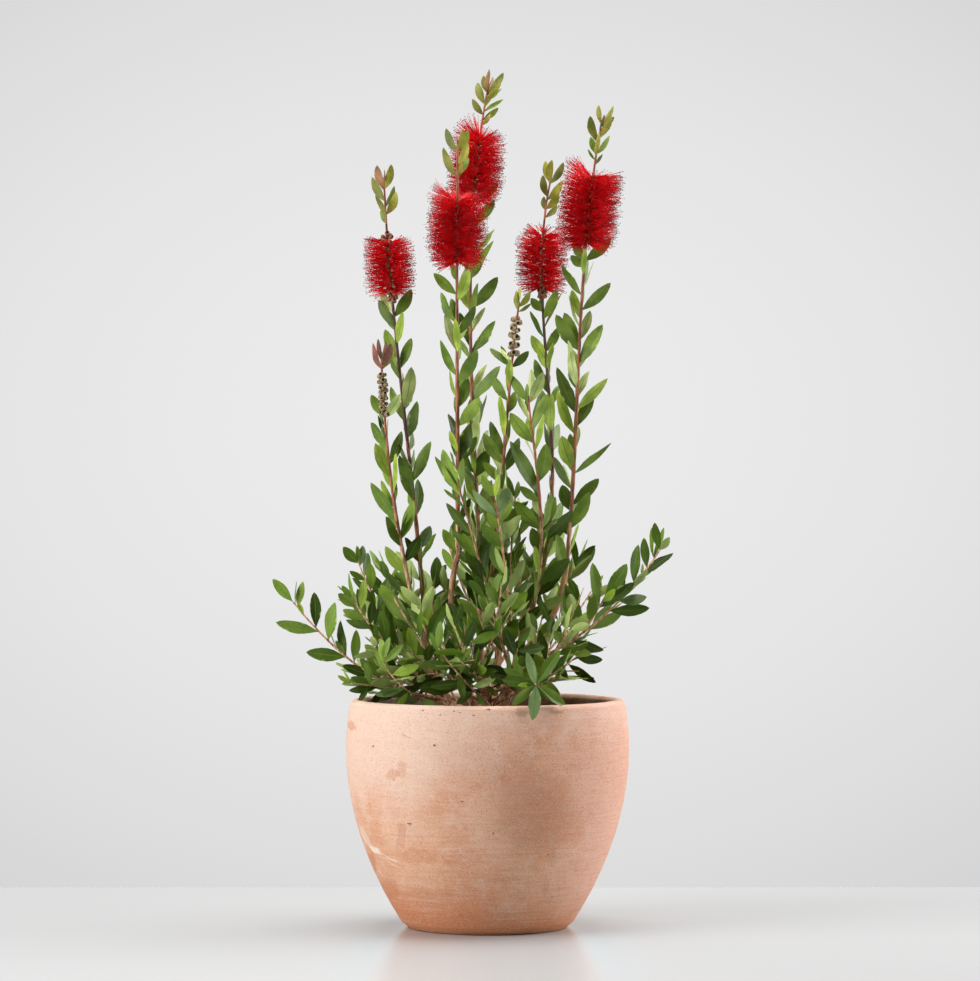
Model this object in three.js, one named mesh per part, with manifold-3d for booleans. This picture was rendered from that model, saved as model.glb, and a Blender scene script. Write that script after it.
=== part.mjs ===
// A bottlebrush shrub in a terracotta pot: the pot, its soil, the root crown, the woody limbs,
// the tall flowering shoots and the low leafy branches. Millimetres, +Z up, front towards -Y,
// with the origin at the centre of the pot's underside.
import * as THREE from "three";
import { mergeVertices } from "three/addons/utils/BufferGeometryUtils.js";
import Module from "manifold-3d";

const wasm = await Module();
wasm.setup();

// ---- driving dimensions ----
const clearance = 0.3; // between neighbouring solids
const rimHeight = 240; // the pot's height
const bellyRadius = 149.5; // the pot's widest radius
const bellyHeight = 190; // where it is widest
const footRadius = 86;
const footPower = 0.88; // how fast the wall leaves the foot
const shoulderCurve = 0.002; // how fast the wall draws in above the belly
const wall = 15;
const lip = 5; // height of the rim's rounding
const floorThickness = 18;
const soilHeight = 210;
const crownHeight = 24; // of the woody root crown above the soil
const crownRadius = 30;

const leafWidth = 0.42; // share of a leaf's length
const leafThickness = 0.026; // share of a leaf's length
const goldenAngle = 137.5; // degrees from one leaf to the next round a stem
const azimuthSpread = 36; // degrees
const riseEase = 0.3; // how much less a leaf rises off the stem at its tip
const riseSpread = 14; // degrees
const sizeEase = 0.28; // how much smaller a leaf is at the stem's tip
const sizeRange = [0.88, 1.12];
const twistRange = [37, 87]; // degrees that a blade turns about its midrib
const liftRange = [0.12, 0.32]; // how far a leaf turns up towards the light
const leafSeat = 0.45; // how deep a leaf's root lies, as a share of its stem's radius
const leafGap = 0.5; // least distance between a leaf and its neighbours
const turns = [0, 40, -40, 85]; // other azimuths that a blocked leaf tries

const flowerRadius = 33; // the reach of a brush's stamens
const brushDip = 0.66; // of that reach, between the spikes
const brushSides = 10;
const brushRings = 9;
const fruitRadius = 3.7; // of one seed cup
const fruitRing = 4; // from a cup's centre to its stem's axis
const fruitCount = 16;

const up = new THREE.Vector3(0, 0, 1);
const vector = (point) => new THREE.Vector3(...point);
const radians = (degrees) => (degrees * Math.PI) / 180;
const mix = (low, high, share) => low + (high - low) * share;

// ---- limbs: each one tapering rod on a cubic curve, from the root crown or another limb ----
const limbs = [
  { name: "limb_left", radii: [6.5, 4.4],
    curve: [[-12, 0, 221], [-50, 3, 230], [-62, 6, 262], [-66, 8, 315]] },
  { name: "limb_middle_left", radii: [4.4, 2.8],
    curve: [[-8, -11, 224], [-22, -22, 245], [-52, -30, 320], [-31, -32, 392]] },
  { name: "limb_middle", radii: [5, 3.3],
    curve: [[-3, 6, 226], [-8, 12, 260], [-9, 15, 300], [-7, 17, 344]] },
  { name: "limb_right", radii: [6, 4],
    curve: [[12, 2, 224], [22, 4, 240], [30, 1, 275], [40, 2, 318]] },
  { name: "limb_far_right", radii: [3.6, 2.9],
    curve: [[31, 0, 288], [62, -5, 302], [76, -8, 336], [83, -10, 378]] },
  { name: "limb_back", radii: [4.8, 3.4],
    curve: [[2, 12, 224], [6, 34, 236], [11, 50, 266], [13, 58, 305]] },
  { name: "limb_front", radii: [4.4, 3],
    curve: [[4, -13, 222], [3, -36, 226], [0, -56, 246], [-4, -64, 282]] },
];

// ---- stems: one for each mass of foliage ----
// limb and at say where a stem leaves its limb, and tip where it ends. low and high push its two
// handles sideways, in X and Y, off the straight line, and sag lets both down.
// A brush or a row of seed cups fills the shares given, and the young growth is above it.
const tall = { spacing: 21, leaf: 46, rise: 52, radius: 2.6, bare: 0.06 };
const medium = { spacing: 17, leaf: 41, rise: 50, radius: 1.9, bare: 0.12 };
const low = { spacing: 16, leaf: 41, rise: 52, radius: 2.1, bare: 0.16 };
const stems = [
  { ...tall, name: "flower_shoot_left", limb: "limb_left", at: 1, tip: [-110, 20, 792],
    low: [4, 0], high: [-8, 0], brush: [0.73, 0.87] },
  { ...tall, name: "flower_shoot_front", limb: "limb_middle_left", at: 1, tip: [-31, -55, 825],
    low: [0, 0], high: [-2, 0], brush: [0.69, 0.885] },
  { ...tall, name: "flower_shoot_top", limb: "limb_middle", at: 1, tip: [1, 60, 895],
    low: [-8, 0], high: [-21, 0], brush: [0.78, 0.93] },
  { ...tall, name: "flower_shoot_back", limb: "limb_right", at: 1, tip: [69, 75, 799],
    low: [52, 0], high: [-26, 0], brush: [0.73, 0.9] },
  { ...tall, name: "flower_shoot_right", limb: "limb_far_right", at: 1, tip: [120, -25, 849],
    low: [-2, 0], high: [-16, 0], brush: [0.705, 0.885] },
  { ...tall, name: "fruit_shoot_left", limb: "limb_left", at: 0.72, tip: [-111, -45, 605],
    low: [-16, -6], high: [-14, 0], radius: 2.1, fruit: [0.79, 0.93] },
  { ...tall, name: "fruit_shoot_middle", limb: "limb_middle", at: 0.7, tip: [33, -70, 656],
    low: [12, -8], high: [-3, -6], radius: 2.2, fruit: [0.83, 0.95] },
  { ...tall, name: "leaf_shoot_right", limb: "limb_right", at: 0.84, tip: [42, -60, 559],
    low: [34, -6], high: [12, -4], radius: 2.2, spacing: 16 },
  { ...medium, name: "leaf_shoot_middle", limb: "limb_right", at: 0.64, tip: [7, -90, 466],
    low: [0, -16], high: [4, -6] },
  { ...medium, name: "leaf_shoot_middle_left", limb: "limb_right", at: 0.5, tip: [-31, -75, 469],
    low: [0, -14], high: [0, -6] },
  { ...medium, name: "leaf_shoot_middle_back", limb: "limb_right", at: 0.93, tip: [31, 45, 469],
    low: [0, 8], high: [0, 6] },
  { ...medium, name: "leaf_shoot_left", limb: "limb_middle", at: 0.86, tip: [-17, -18, 497],
    low: [-6, -6], high: [4, -8] },
  { ...medium, name: "leaf_shoot_short_left", limb: "limb_left", at: 0.86, tip: [-51, 48, 400],
    low: [0, 12], high: [0, 6] },
  { ...medium, name: "leaf_shoot_short_right", limb: "limb_far_right", at: 0.7, tip: [106, 50, 400],
    low: [0, 14], high: [4, 8] },
  { ...medium, name: "leaf_shoot_back", limb: "limb_back", at: 1, tip: [24, 98, 455],
    low: [0, 6], high: [2, 4] },
  { ...medium, name: "leaf_shoot_back_left", limb: "limb_back", at: 0.82, tip: [-58, 84, 432],
    low: [-10, 8], high: [-8, 6] },
  { ...medium, name: "leaf_shoot_back_right", limb: "limb_back", at: 0.68, tip: [72, 96, 424],
    low: [14, 6], high: [6, 6] },
  { ...low, name: "low_branch_left_far", limb: "limb_left", at: 0.38, tip: [-206, -26, 350],
    low: [0, -8], high: [0, 0], sag: 12, twigs: 2 },
  { ...low, name: "low_branch_left_high", limb: "limb_left", at: 0.6, tip: [-138, 38, 384],
    low: [-8, 8], high: [-6, 4], sag: 12, twigs: 2 },
  { ...low, name: "low_branch_left_middle", limb: "limb_left", at: 0.5, tip: [-146, -62, 356],
    low: [-6, -16], high: [-4, -8], sag: 10, twigs: 2 },
  { ...low, name: "low_branch_left_rim", limb: "limb_left", at: 0.22, tip: [-140, 34, 268],
    low: [-4, 12], high: [0, 8], sag: 0, twigs: 2 },
  { ...low, name: "low_branch_left_back", limb: "limb_left", at: 0.3, tip: [-112, 112, 342],
    low: [4, 16], high: [0, 8], sag: 12, twigs: 3 },
  { ...low, name: "low_branch_front_left", limb: "limb_front", at: 0.4, tip: [-98, -100, 352],
    low: [-12, -8], high: [-4, 0], sag: 14, twigs: 3 },
  { ...low, name: "low_branch_front", limb: "limb_front", at: 0.75, tip: [-34, -138, 322],
    low: [-4, -8], high: [0, -4], sag: 8, twigs: 3 },
  { ...low, name: "low_branch_front_middle", limb: "limb_front", at: 1, tip: [14, -108, 362],
    low: [2, -6], high: [4, -4], sag: 4, twigs: 2 },
  { ...low, name: "low_branch_front_rim", limb: "limb_front", at: 0.6, tip: [50, -137, 266],
    low: [8, -6], high: [4, 0], sag: -6, twigs: 2, droop: 1 },
  { ...low, name: "low_branch_front_right", limb: "limb_right", at: 0.36, tip: [84, -102, 316],
    low: [8, -14], high: [4, -6], sag: 10, twigs: 3 },
  { ...low, name: "low_branch_right_far", limb: "limb_right", at: 0.62, tip: [173, -28, 405],
    low: [10, -8], high: [2, 0], sag: 22, twigs: 2 },
  { ...low, name: "low_branch_right_low", limb: "limb_right", at: 0.28, tip: [124, 44, 296],
    low: [8, 6], high: [4, 4], sag: 6, twigs: 2 },
  { ...low, name: "low_branch_right_back", limb: "limb_back", at: 0.42, tip: [112, 118, 350],
    low: [16, 8], high: [6, 4], sag: 12, twigs: 3 },
  { ...low, name: "low_branch_back", limb: "limb_back", at: 0.9, tip: [4, 158, 350],
    low: [0, 10], high: [0, 4], sag: 10, twigs: 3 },
  { ...low, name: "low_branch_back_left", limb: "limb_back", at: 0.55, tip: [-62, 146, 322],
    low: [-8, 10], high: [-4, 4], sag: 10, twigs: 2 },
];
const twigShares = [0.34, 0.56, 0.74]; // where side twigs leave a low branch
const twigLength = 0.42; // of the branch's length
const twigRise = 0.24; // of the twig's length, that it bends up by
const stemTaper = 0.6; // share of a stem's radius that is gone at its tip
const twigRadius = 0.72; // of its branch's radius where it leaves
const twigSeat = 0.5; // how much of that is left at its sunk root
const twig = { spacing: 15, leaf: 34, rise: 50, bare: 0.2 };
const young = { spacing: 8, leaf: 27, rise: 34 }; // the growth above a brush or fruit

// ---- small tools ----

// A seeded source of even random numbers from 0 to 1.
function randomSource(seed) {
  let state = seed >>> 0;
  return () => {
    state = (Math.imul(state, 1664525) + 1013904223) >>> 0;
    return state / 4294967296;
  };
}

const bezier = (points) => new THREE.CubicBezierCurve3(...points.map(vector));

// Three axes at a share of a curve: along it, and two across it. The first axis across lies level.
function axesAt(curve, share) {
  const chord = curve.v3.clone().sub(curve.v0);
  const along = curve.getTangent(share);
  const level = new THREE.Vector3().crossVectors(chord, up).normalize();
  const side = level.addScaledVector(along, -level.dot(along)).normalize();
  return { along, side, front: new THREE.Vector3().crossVectors(side, along) };
}

// The direction out of a stem at an azimuth in degrees.
function outward(axes, azimuth) {
  return new THREE.Vector3()
    .addScaledVector(axes.side, Math.cos(radians(azimuth)))
    .addScaledVector(axes.front, Math.sin(radians(azimuth)));
}

// A closed rod on a stretch of a curve. radius(share, corner, ring) is in millimetres, and swell
// makes the rod that much fatter and longer at both ends.
function rod({ curve, from = 0, to = 1, sides, rings, radius, swell = 0 }) {
  const geometry = new THREE.CylinderGeometry(1, 1, 1, sides, rings);
  const position = geometry.getAttribute("position");
  for (let i = 0; i < position.count; i++) {
    const share = position.getY(i) + 0.5;
    const ring = Math.round(share * rings);
    const turn = Math.atan2(position.getX(i), position.getZ(i)) / (2 * Math.PI);
    const corner = ((Math.round(turn * sides) % sides) + sides) % sides;
    const place = mix(from, to, share);
    const { along, side, front } = axesAt(curve, place);
    const reach = radius(share, corner, ring) + swell / Math.cos(Math.PI / sides);
    const point = curve
      .getPoint(place)
      .addScaledVector(side, position.getX(i) * reach)
      .addScaledVector(front, position.getZ(i) * reach)
      .addScaledVector(along, ring === 0 ? -swell : ring === rings ? swell : 0);
    position.setXYZ(i, point.x, point.y, point.z);
  }
  return geometry;
}

// A closed geometry as a solid, and a solid's largest body as a geometry.
function solidOf(geometry) {
  const bare = new THREE.BufferGeometry();
  bare.setAttribute("position", geometry.getAttribute("position"));
  bare.setIndex(geometry.getIndex());
  const merged = mergeVertices(bare, 1e-4);
  return new wasm.Manifold(
    new wasm.Mesh({
      numProp: 3,
      vertProperties: merged.getAttribute("position").array,
      triVerts: new Uint32Array(merged.getIndex().array),
    }),
  );
}

function geometryOf(solid) {
  const bodies = solid.simplify(0.02).decompose().sort((a, b) => b.volume() - a.volume());
  const { vertProperties, triVerts } = bodies[0].getMesh();
  return new THREE.BufferGeometry()
    .setAttribute("position", new THREE.BufferAttribute(vertProperties, 3))
    .setIndex(new THREE.BufferAttribute(triVerts, 1));
}

// ---- room: what is in the way of a leaf ----
// Every leaf, stretch of stem and brush is a convex body with its corners and a few test directions.
// Two bodies are apart when a gap shows along one of the directions or across two of them.

function span(points, axis) {
  const places = points.map((point) => point.dot(axis));
  return [Math.min(...places), Math.max(...places)];
}

function bodyOf(points, normals, edges, stem) {
  const centre = points.reduce((sum, point) => sum.add(point), new THREE.Vector3());
  centre.divideScalar(points.length);
  const reach = Math.max(...points.map((point) => point.distanceTo(centre)));
  return { points, normals, edges, centre, reach, stem };
}

function apart(a, b, gap) {
  if (a.centre.distanceTo(b.centre) > a.reach + b.reach + gap) return true;
  const crossed = a.edges
    .flatMap((u) => b.edges.map((v) => new THREE.Vector3().crossVectors(u, v)))
    .filter((axis) => axis.length() > 1e-6);
  return [...a.normals, ...b.normals, ...crossed].some((axis) => {
    const unit = axis.clone().normalize();
    const [aLow, aHigh] = span(a.points, unit);
    const [bLow, bHigh] = span(b.points, unit);
    return bLow - aHigh > gap || aLow - bHigh > gap;
  });
}

// The convex bodies of a round rod, one for each of its stretches.
function rodBodies(curve, from, to, pieces, radius, stem) {
  const corners = 6;
  const ringAt = (share) => {
    const axes = axesAt(curve, mix(from, to, share));
    const reach = radius(share) / Math.cos(Math.PI / corners);
    return Array.from({ length: corners }, (_, k) =>
      curve
        .getPoint(mix(from, to, share))
        .addScaledVector(outward(axes, (360 / corners) * k), reach),
    );
  };
  return Array.from({ length: pieces }, (_, k) => {
    const axes = axesAt(curve, mix(from, to, (k + 0.5) / pieces));
    const sides = [30, 90, 150].map((azimuth) => outward(axes, azimuth));
    const edges = [0, 60, 120].map((azimuth) => outward(axes, azimuth));
    const points = [...ringAt(k / pieces), ...ringAt((k + 1) / pieces)];
    return bodyOf(points, [axes.along, ...sides], [axes.along, ...edges], stem);
  });
}

const stemBodies = ({ curve, radius, id }) =>
  rodBodies(curve, 0, 1, 6, (share) => taper(radius, share), id);

// ---- pot, soil and root crown ----

const outerRadius = (z) =>
  z < bellyHeight
    ? mix(footRadius, bellyRadius, Math.sin((Math.PI / 2) * (z / bellyHeight) ** footPower))
    : bellyRadius - shoulderCurve * (z - bellyHeight) ** 2;
const innerRadius = (z) => outerRadius(z) - wall;

const heights = (from, to, steps) =>
  Array.from({ length: steps + 1 }, (_, k) => mix(from, to, k / steps));

const boreHeights = heights(floorThickness, soilHeight, 5);

function turned(outline, sides) {
  const points = outline.map(([radius, height]) => new THREE.Vector2(radius, height));
  return new THREE.LatheGeometry(points, sides).rotateX(Math.PI / 2);
}

function potGeometry() {
  const shoulder = rimHeight - lip;
  const middle = outerRadius(shoulder) - wall / 2;
  const rounding = [0, 45, 90, 135, 180].map((angle) => [
    middle + (wall / 2) * Math.cos(radians(angle)),
    shoulder + lip * Math.sin(radians(angle)),
  ]);
  const outline = [
    [0, 0],
    [footRadius - 4, 0],
    [footRadius, 2.5],
    ...heights(14, shoulder - 14, 7).map((z) => [outerRadius(z), z]),
    ...rounding,
    ...boreHeights.toReversed().map((z) => [innerRadius(z), z]),
    [0, floorThickness],
  ];
  return turned(outline, 40);
}

function soilGeometry() {
  const bottom = floorThickness + clearance;
  const outline = [
    [0, bottom],
    ...boreHeights.map((z) => [innerRadius(z) - 2 * clearance, Math.max(z, bottom)]),
    [0, soilHeight],
  ];
  return turned(outline, 40);
}

const crownCurve = bezier([
  [0, 0, soilHeight + clearance],
  [0, 0, soilHeight + crownHeight / 3],
  [-1, 0, soilHeight + (crownHeight * 2) / 3],
  [-2, 0, soilHeight + crownHeight],
]);

// Root flare at the soil, with five low ridges, and a shoulder below the fork.
function crownRod(swell) {
  const flare = (share, corner) =>
    crownRadius * (0.52 + 0.48 * (1 - share) ** 2 - 0.2 * share ** 6) *
    (corner % 2 ? 1 : 1 + 0.1 * (1 - share));
  return rod({ curve: crownCurve, sides: 10, rings: 5, radius: flare, swell });
}

// ---- limbs ----

const limbCurves = new Map(limbs.map(({ name, curve }) => [name, bezier(curve)]));

function limbRod({ name, radii }, swell) {
  const radius = (share, corner, ring) =>
    mix(...radii, share) * (1 + 0.06 * ((corner + ring) % 2));
  return rod({ curve: limbCurves.get(name), sides: 7, rings: 7, radius, swell });
}

// ---- stems and their side twigs ----

function stemCurve({ limb, at, tip, low: lower, high: upper, sag = 0 }) {
  const foot = limbCurves.get(limb).getPoint(at);
  const end = vector(tip);
  const handle = (share, [x, y]) =>
    foot.clone().lerp(end, share).add(new THREE.Vector3(x, y, -sag));
  return new THREE.CubicBezierCurve3(foot, handle(1 / 3, lower), handle(2 / 3, upper), end);
}

const taper = (radius, share) => radius * (1 - stemTaper * share);

function twigCurve(branch, share, turn) {
  const axes = axesAt(branch, share);
  const start = branch.getPoint(share);
  const length = branch.getLength() * twigLength * (1.25 - share);
  const heading = axes.along
    .clone()
    .multiplyScalar(0.75)
    .addScaledVector(outward(axes, turn), 0.6)
    .normalize();
  const along = (part) =>
    start
      .clone()
      .addScaledVector(heading, length * part)
      .addScaledVector(up, twigRise * length * part ** 2);
  return new THREE.CubicBezierCurve3(start, along(1 / 3), along(2 / 3), along(1));
}

// The side twigs of a stem that find room, each added to the room as it is placed.
function twigsOf(main, number) {
  const twigs = [];
  twigShares.slice(0, main.twigs ?? 0).forEach((share, k) => {
    const id = `${main.id} twig ${k}`;
    const radius = twigRadius * taper(main.radius, share);
    const free = turns
      .map((turn) => twigCurve(main.curve, share, 35 + 180 * k + 25 * (number % 3) + turn))
      .map((curve) => ({ curve, bodies: stemBodies({ curve, radius, id }) }))
      .find(({ bodies }) =>
        bodies.every(
          (part) =>
            clearsPot(part) &&
            room.every((body) => body.stem === main.id || apart(part, body, leafGap)),
        ),
      );
    if (!free) return;
    twigs.push({ ...twig, curve: free.curve, radius, id });
    room.push(...free.bodies);
  });
  return twigs;
}

// ---- leaves ----

// A flat eight-sided leaf: root is on its stem's axis, heading runs to its tip and face is the
// direction that its upper side looks in.
function leafBody({ root, heading, face, length, sunk, stem }) {
  const half = heading.clone().multiplyScalar((length + sunk) / 2);
  const across = new THREE.Vector3().crossVectors(face, heading).normalize();
  const width = across.multiplyScalar((length * leafWidth) / 2);
  const normal = new THREE.Vector3().crossVectors(heading, width).normalize();
  const thick = normal.multiplyScalar((length * leafThickness) / 2);
  const centre = root.clone().addScaledVector(heading, (length - sunk) / 2);
  const axes = [half, width, thick];
  const points = axes.flatMap((axis) => [centre.clone().add(axis), centre.clone().sub(axis)]);
  const facing = (a, b) =>
    new THREE.Vector3()
      .addScaledVector(half, 1 / half.lengthSq())
      .addScaledVector(width, a / width.lengthSq())
      .addScaledVector(thick, b / thick.lengthSq());
  const normals = [facing(1, 1), facing(1, -1), facing(-1, 1), facing(-1, -1)];
  const edges = [[half, width], [half, thick], [width, thick]].flatMap(([a, b]) => [
    a.clone().add(b),
    a.clone().sub(b),
  ]);
  return { ...bodyOf(points, normals, edges, stem), axes, middle: centre };
}

function leafGeometry({ axes: [half, width, thick], middle }) {
  const matrix = new THREE.Matrix4().makeBasis(half, width, thick).setPosition(middle);
  return new THREE.OctahedronGeometry(1, 0).applyMatrix4(matrix);
}

// Where the leaves of one stretch of a stem stand, before anything is skipped.
function leafPlaces(shoot, from, to, growth, random) {
  const length = shoot.curve.getLength() * (to - from);
  const count = Math.max(1, Math.round(length / growth.spacing));
  return Array.from({ length: count }, (_, k) => {
    const towardsTip = (k + 1) / count;
    return {
      share: mix(from, to, towardsTip),
      azimuth: goldenAngle * k + azimuthSpread * random(),
      rise: growth.rise * (1 - riseEase * towardsTip) + riseSpread * (random() - 0.5),
      length: growth.leaf * (1 - sizeEase * towardsTip ** 2) * mix(...sizeRange, random()),
      twist: mix(...twistRange, random()),
      lift: mix(...liftRange, random()),
    };
  });
}

function leafAt(shoot, place, turn) {
  const { curve, radius, droop = 0 } = shoot;
  const axes = axesAt(curve, place.share);
  const out = outward(axes, place.azimuth + turn);
  const rise = radians(place.rise);
  const heading = axes.along
    .clone()
    .multiplyScalar(Math.cos(rise))
    .addScaledVector(out, Math.sin(rise))
    .addScaledVector(up, place.lift - droop)
    .normalize();
  const inner = axes.along.clone().addScaledVector(heading, -axes.along.dot(heading)).normalize();
  const face = inner.applyAxisAngle(heading, radians(place.twist));
  const root = curve.getPoint(place.share);
  const sunk = leafSeat * taper(radius, place.share);
  return leafBody({ root, heading, face, length: place.length, sunk, stem: `${shoot.id} leaf` });
}

// A leaf clears the pot if it lies above the rim, inside the mouth or beyond the wall.
function clearsPot({ points, centre }) {
  const flat = (point) => Math.hypot(point.x, point.y);
  const outside = new THREE.Vector3(centre.x, centre.y, 0).normalize();
  return (
    points.every((point) => point.z > rimHeight + leafGap) ||
    points.every((p) => flat(p) < innerRadius(soilHeight) - 2 && p.z > soilHeight + 2) ||
    points.every((point) => point.dot(outside) > bellyRadius + leafGap)
  );
}

// ---- blossom and fruit ----

// The brush's outline: stamens stand out of a full body in a chequered pattern of spikes.
function brushRod({ curve, brush: [from, to] }) {
  const radius = (share, corner, ring) => {
    const rounding = (1 - Math.abs(2 * share - 1) ** 3.2 * 0.8) ** 0.6;
    return flowerRadius * rounding * ((corner + ring) % 2 ? 1 : brushDip);
  };
  return rod({ curve, from, to, sides: brushSides, rings: brushRings, radius });
}

// Seed cups in spiral rows that hug the stem.
function fruitCups({ curve, fruit: [from, to] }) {
  return Array.from({ length: fruitCount }, (_, k) => {
    const share = mix(from, to, (k + 0.5) / fruitCount);
    const axes = axesAt(curve, share);
    const centre = curve
      .getPoint(share)
      .addScaledVector(outward(axes, goldenAngle * k), fruitRing);
    const cup = new THREE.OctahedronGeometry(fruitRadius, 0);
    return cup.translate(centre.x, centre.y, centre.z);
  });
}

// ---- the plant ----

const crownSwollen = solidOf(crownRod(1.4 * clearance));
const limbSwollen = new Map(limbs.map((limb) => [limb.name, solidOf(limbRod(limb, clearance))]));
const mains = stems.map((stem) => ({ ...stem, curve: stemCurve(stem), id: stem.name }));
const room = [
  ...limbs.flatMap(({ name, radii }) =>
    rodBodies(limbCurves.get(name), 0, 1, 5, (share) => 1.06 * mix(...radii, share), name),
  ),
  ...mains.flatMap(stemBodies),
  ...mains.flatMap(({ curve, brush, id }) =>
    brush ? rodBodies(curve, ...brush, 1, () => flowerRadius, id) : [],
  ),
];
const shootsByStem = mains.map((main, number) => [main, ...twigsOf(main, number)]);

// The leaves of one mass that find room, each added to the room as it is placed.
function leavesOf(shoots, random) {
  const leaves = [];
  for (const shoot of shoots) {
    const taken = shoot.brush ?? shoot.fruit;
    const places = leafPlaces(shoot, shoot.bare, taken ? taken[0] - 0.01 : 1, shoot, random);
    if (taken) places.push(...leafPlaces(shoot, taken[1] + 0.01, 1, young, random));
    for (const place of places) {
      const free = turns
        .map((turn) => leafAt(shoot, place, turn))
        .find(
          (leaf) =>
            clearsPot(leaf) &&
            room.every((body) => body.stem === shoot.id || apart(leaf, body, leafGap)),
        );
      if (!free) continue;
      leaves.push(free);
      room.push(free);
    }
  }
  return leaves;
}

const materials = {
  terracotta: new THREE.MeshStandardMaterial({ color: 0xd9a283, roughness: 0.92 }),
  soil: new THREE.MeshStandardMaterial({ color: 0x2e2118, roughness: 1 }),
  bark: new THREE.MeshStandardMaterial({ color: 0x8a6448, roughness: 0.9 }),
  foliage: new THREE.MeshStandardMaterial({ color: 0x4c7330, roughness: 0.55 }),
};

const group = new THREE.Group();

function addPiece(name, geometry, material) {
  const mesh = new THREE.Mesh(geometry, material);
  mesh.name = name;
  group.add(mesh);
}

addPiece("pot", potGeometry(), materials.terracotta);
addPiece("soil", soilGeometry(), materials.soil);
addPiece("root_crown", crownRod(0), materials.bark);

for (const limb of limbs) {
  const solid = solidOf(limbRod(limb, 0)).subtract(crownSwollen);
  const cut = limb.name === "limb_far_right" ? solid.subtract(limbSwollen.get("limb_right")) : solid;
  addPiece(limb.name, geometryOf(cut), materials.bark);
}

shootsByStem.forEach((shoots, number) => {
  const leaves = leavesOf(shoots, randomSource(11 + 37 * number));
  const rods = shoots.map(({ curve, radius }, k) =>
    rod({
      curve,
      sides: 3,
      rings: k ? 3 : 7,
      radius: (share, _, ring) => taper(radius, share) * (k && ring === 0 ? twigSeat : 1),
    }),
  );
  const [main] = shoots;
  const blossom = main.brush ? [brushRod(main)] : [];
  const fruit = main.fruit ? fruitCups(main) : [];
  const parts = [...rods, ...blossom, ...fruit, ...leaves.map(leafGeometry)].map(solidOf);
  const mass = wasm.Manifold.union(parts).subtract(limbSwollen.get(main.limb));
  addPiece(main.name, geometryOf(mass), materials.foliage);
});

export default group;
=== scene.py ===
import math

import bpy
import numpy as np
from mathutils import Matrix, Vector, noise


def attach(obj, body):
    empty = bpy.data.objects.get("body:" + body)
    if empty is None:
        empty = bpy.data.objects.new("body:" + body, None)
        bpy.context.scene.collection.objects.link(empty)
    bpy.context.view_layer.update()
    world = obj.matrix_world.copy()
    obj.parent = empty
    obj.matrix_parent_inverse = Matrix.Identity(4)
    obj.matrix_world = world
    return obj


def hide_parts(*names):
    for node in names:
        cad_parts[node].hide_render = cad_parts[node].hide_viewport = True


mm = 0.001  # shapes are worked out in millimetres, as the solids are, and Blender is in metres

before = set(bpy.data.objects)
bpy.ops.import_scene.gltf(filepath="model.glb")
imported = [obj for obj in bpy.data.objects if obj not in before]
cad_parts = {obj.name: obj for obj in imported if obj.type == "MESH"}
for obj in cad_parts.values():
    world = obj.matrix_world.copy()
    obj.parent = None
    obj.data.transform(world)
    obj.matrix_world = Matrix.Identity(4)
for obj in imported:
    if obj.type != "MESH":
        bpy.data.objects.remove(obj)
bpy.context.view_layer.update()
bpy.ops.object.select_all(action="DESELECT")


def linear(level):
    share = level / 255
    return share / 12.92 if share <= 0.04045 else ((share + 0.055) / 1.055) ** 2.4


def tone(red, green, blue):
    return (linear(red), linear(green), linear(blue), 1.0)


def shaded(colour, factor):
    return tuple(min(1.0, part * factor) for part in colour[:3]) + (1.0,)


# Shader maths: a wire is the output of a node, and expressions on wires add Math nodes


class Wire:
    def __init__(self, nodes, socket):
        self.nodes, self.socket = nodes, socket

    def maths(self, operation, first, second):
        return self.nodes.node("ShaderNodeMath", {"operation": operation}, {0: first, 1: second})

    def __add__(self, other):
        return self.maths("ADD", self, other)

    def __sub__(self, other):
        return self.maths("SUBTRACT", self, other)

    def __rsub__(self, other):
        return self.maths("SUBTRACT", other, self)

    def __mul__(self, other):
        return self.maths("MULTIPLY", self, other)

    def __truediv__(self, other):
        return self.maths("DIVIDE", self, other)

    def __lt__(self, other):
        return self.maths("LESS_THAN", self, other)

    def __gt__(self, other):
        return self.maths("GREATER_THAN", self, other)

    def __abs__(self):
        return self.maths("ABSOLUTE", self, 0.0)

    __radd__ = __add__
    __rmul__ = __mul__


class Nodes:
    def __init__(self, tree):
        self.tree = tree

    def node(self, kind, settings, inputs, output=0):
        made = self.tree.nodes.new(kind)
        for key, value in settings.items():
            if key == "stops":
                stops = made.color_ramp.elements
                for k, (place, colour) in enumerate(value):
                    stop = stops[k] if k < 2 else stops.new(place)
                    stop.position, stop.color = place, colour
            else:
                setattr(made, key, value)
        for key, value in inputs.items():
            self.plug(made.inputs[key], value)
        return Wire(self, made.outputs[output])

    def plug(self, socket, value):
        if isinstance(value, Wire):
            self.tree.links.new(value.socket, socket)
        else:
            socket.default_value = value

    def axes(self, vector):
        split = self.node("ShaderNodeSeparateXYZ", {}, {0: vector})
        return [Wire(self, split.socket.node.outputs[k]) for k in range(3)]

    def step(self, value, low, high):  # 0 at low and 1 at high, smooth between them
        inputs = {"Value": value, "From Min": low, "From Max": high}
        return self.node("ShaderNodeMapRange", {"interpolation_type": "SMOOTHSTEP"}, inputs)


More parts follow.
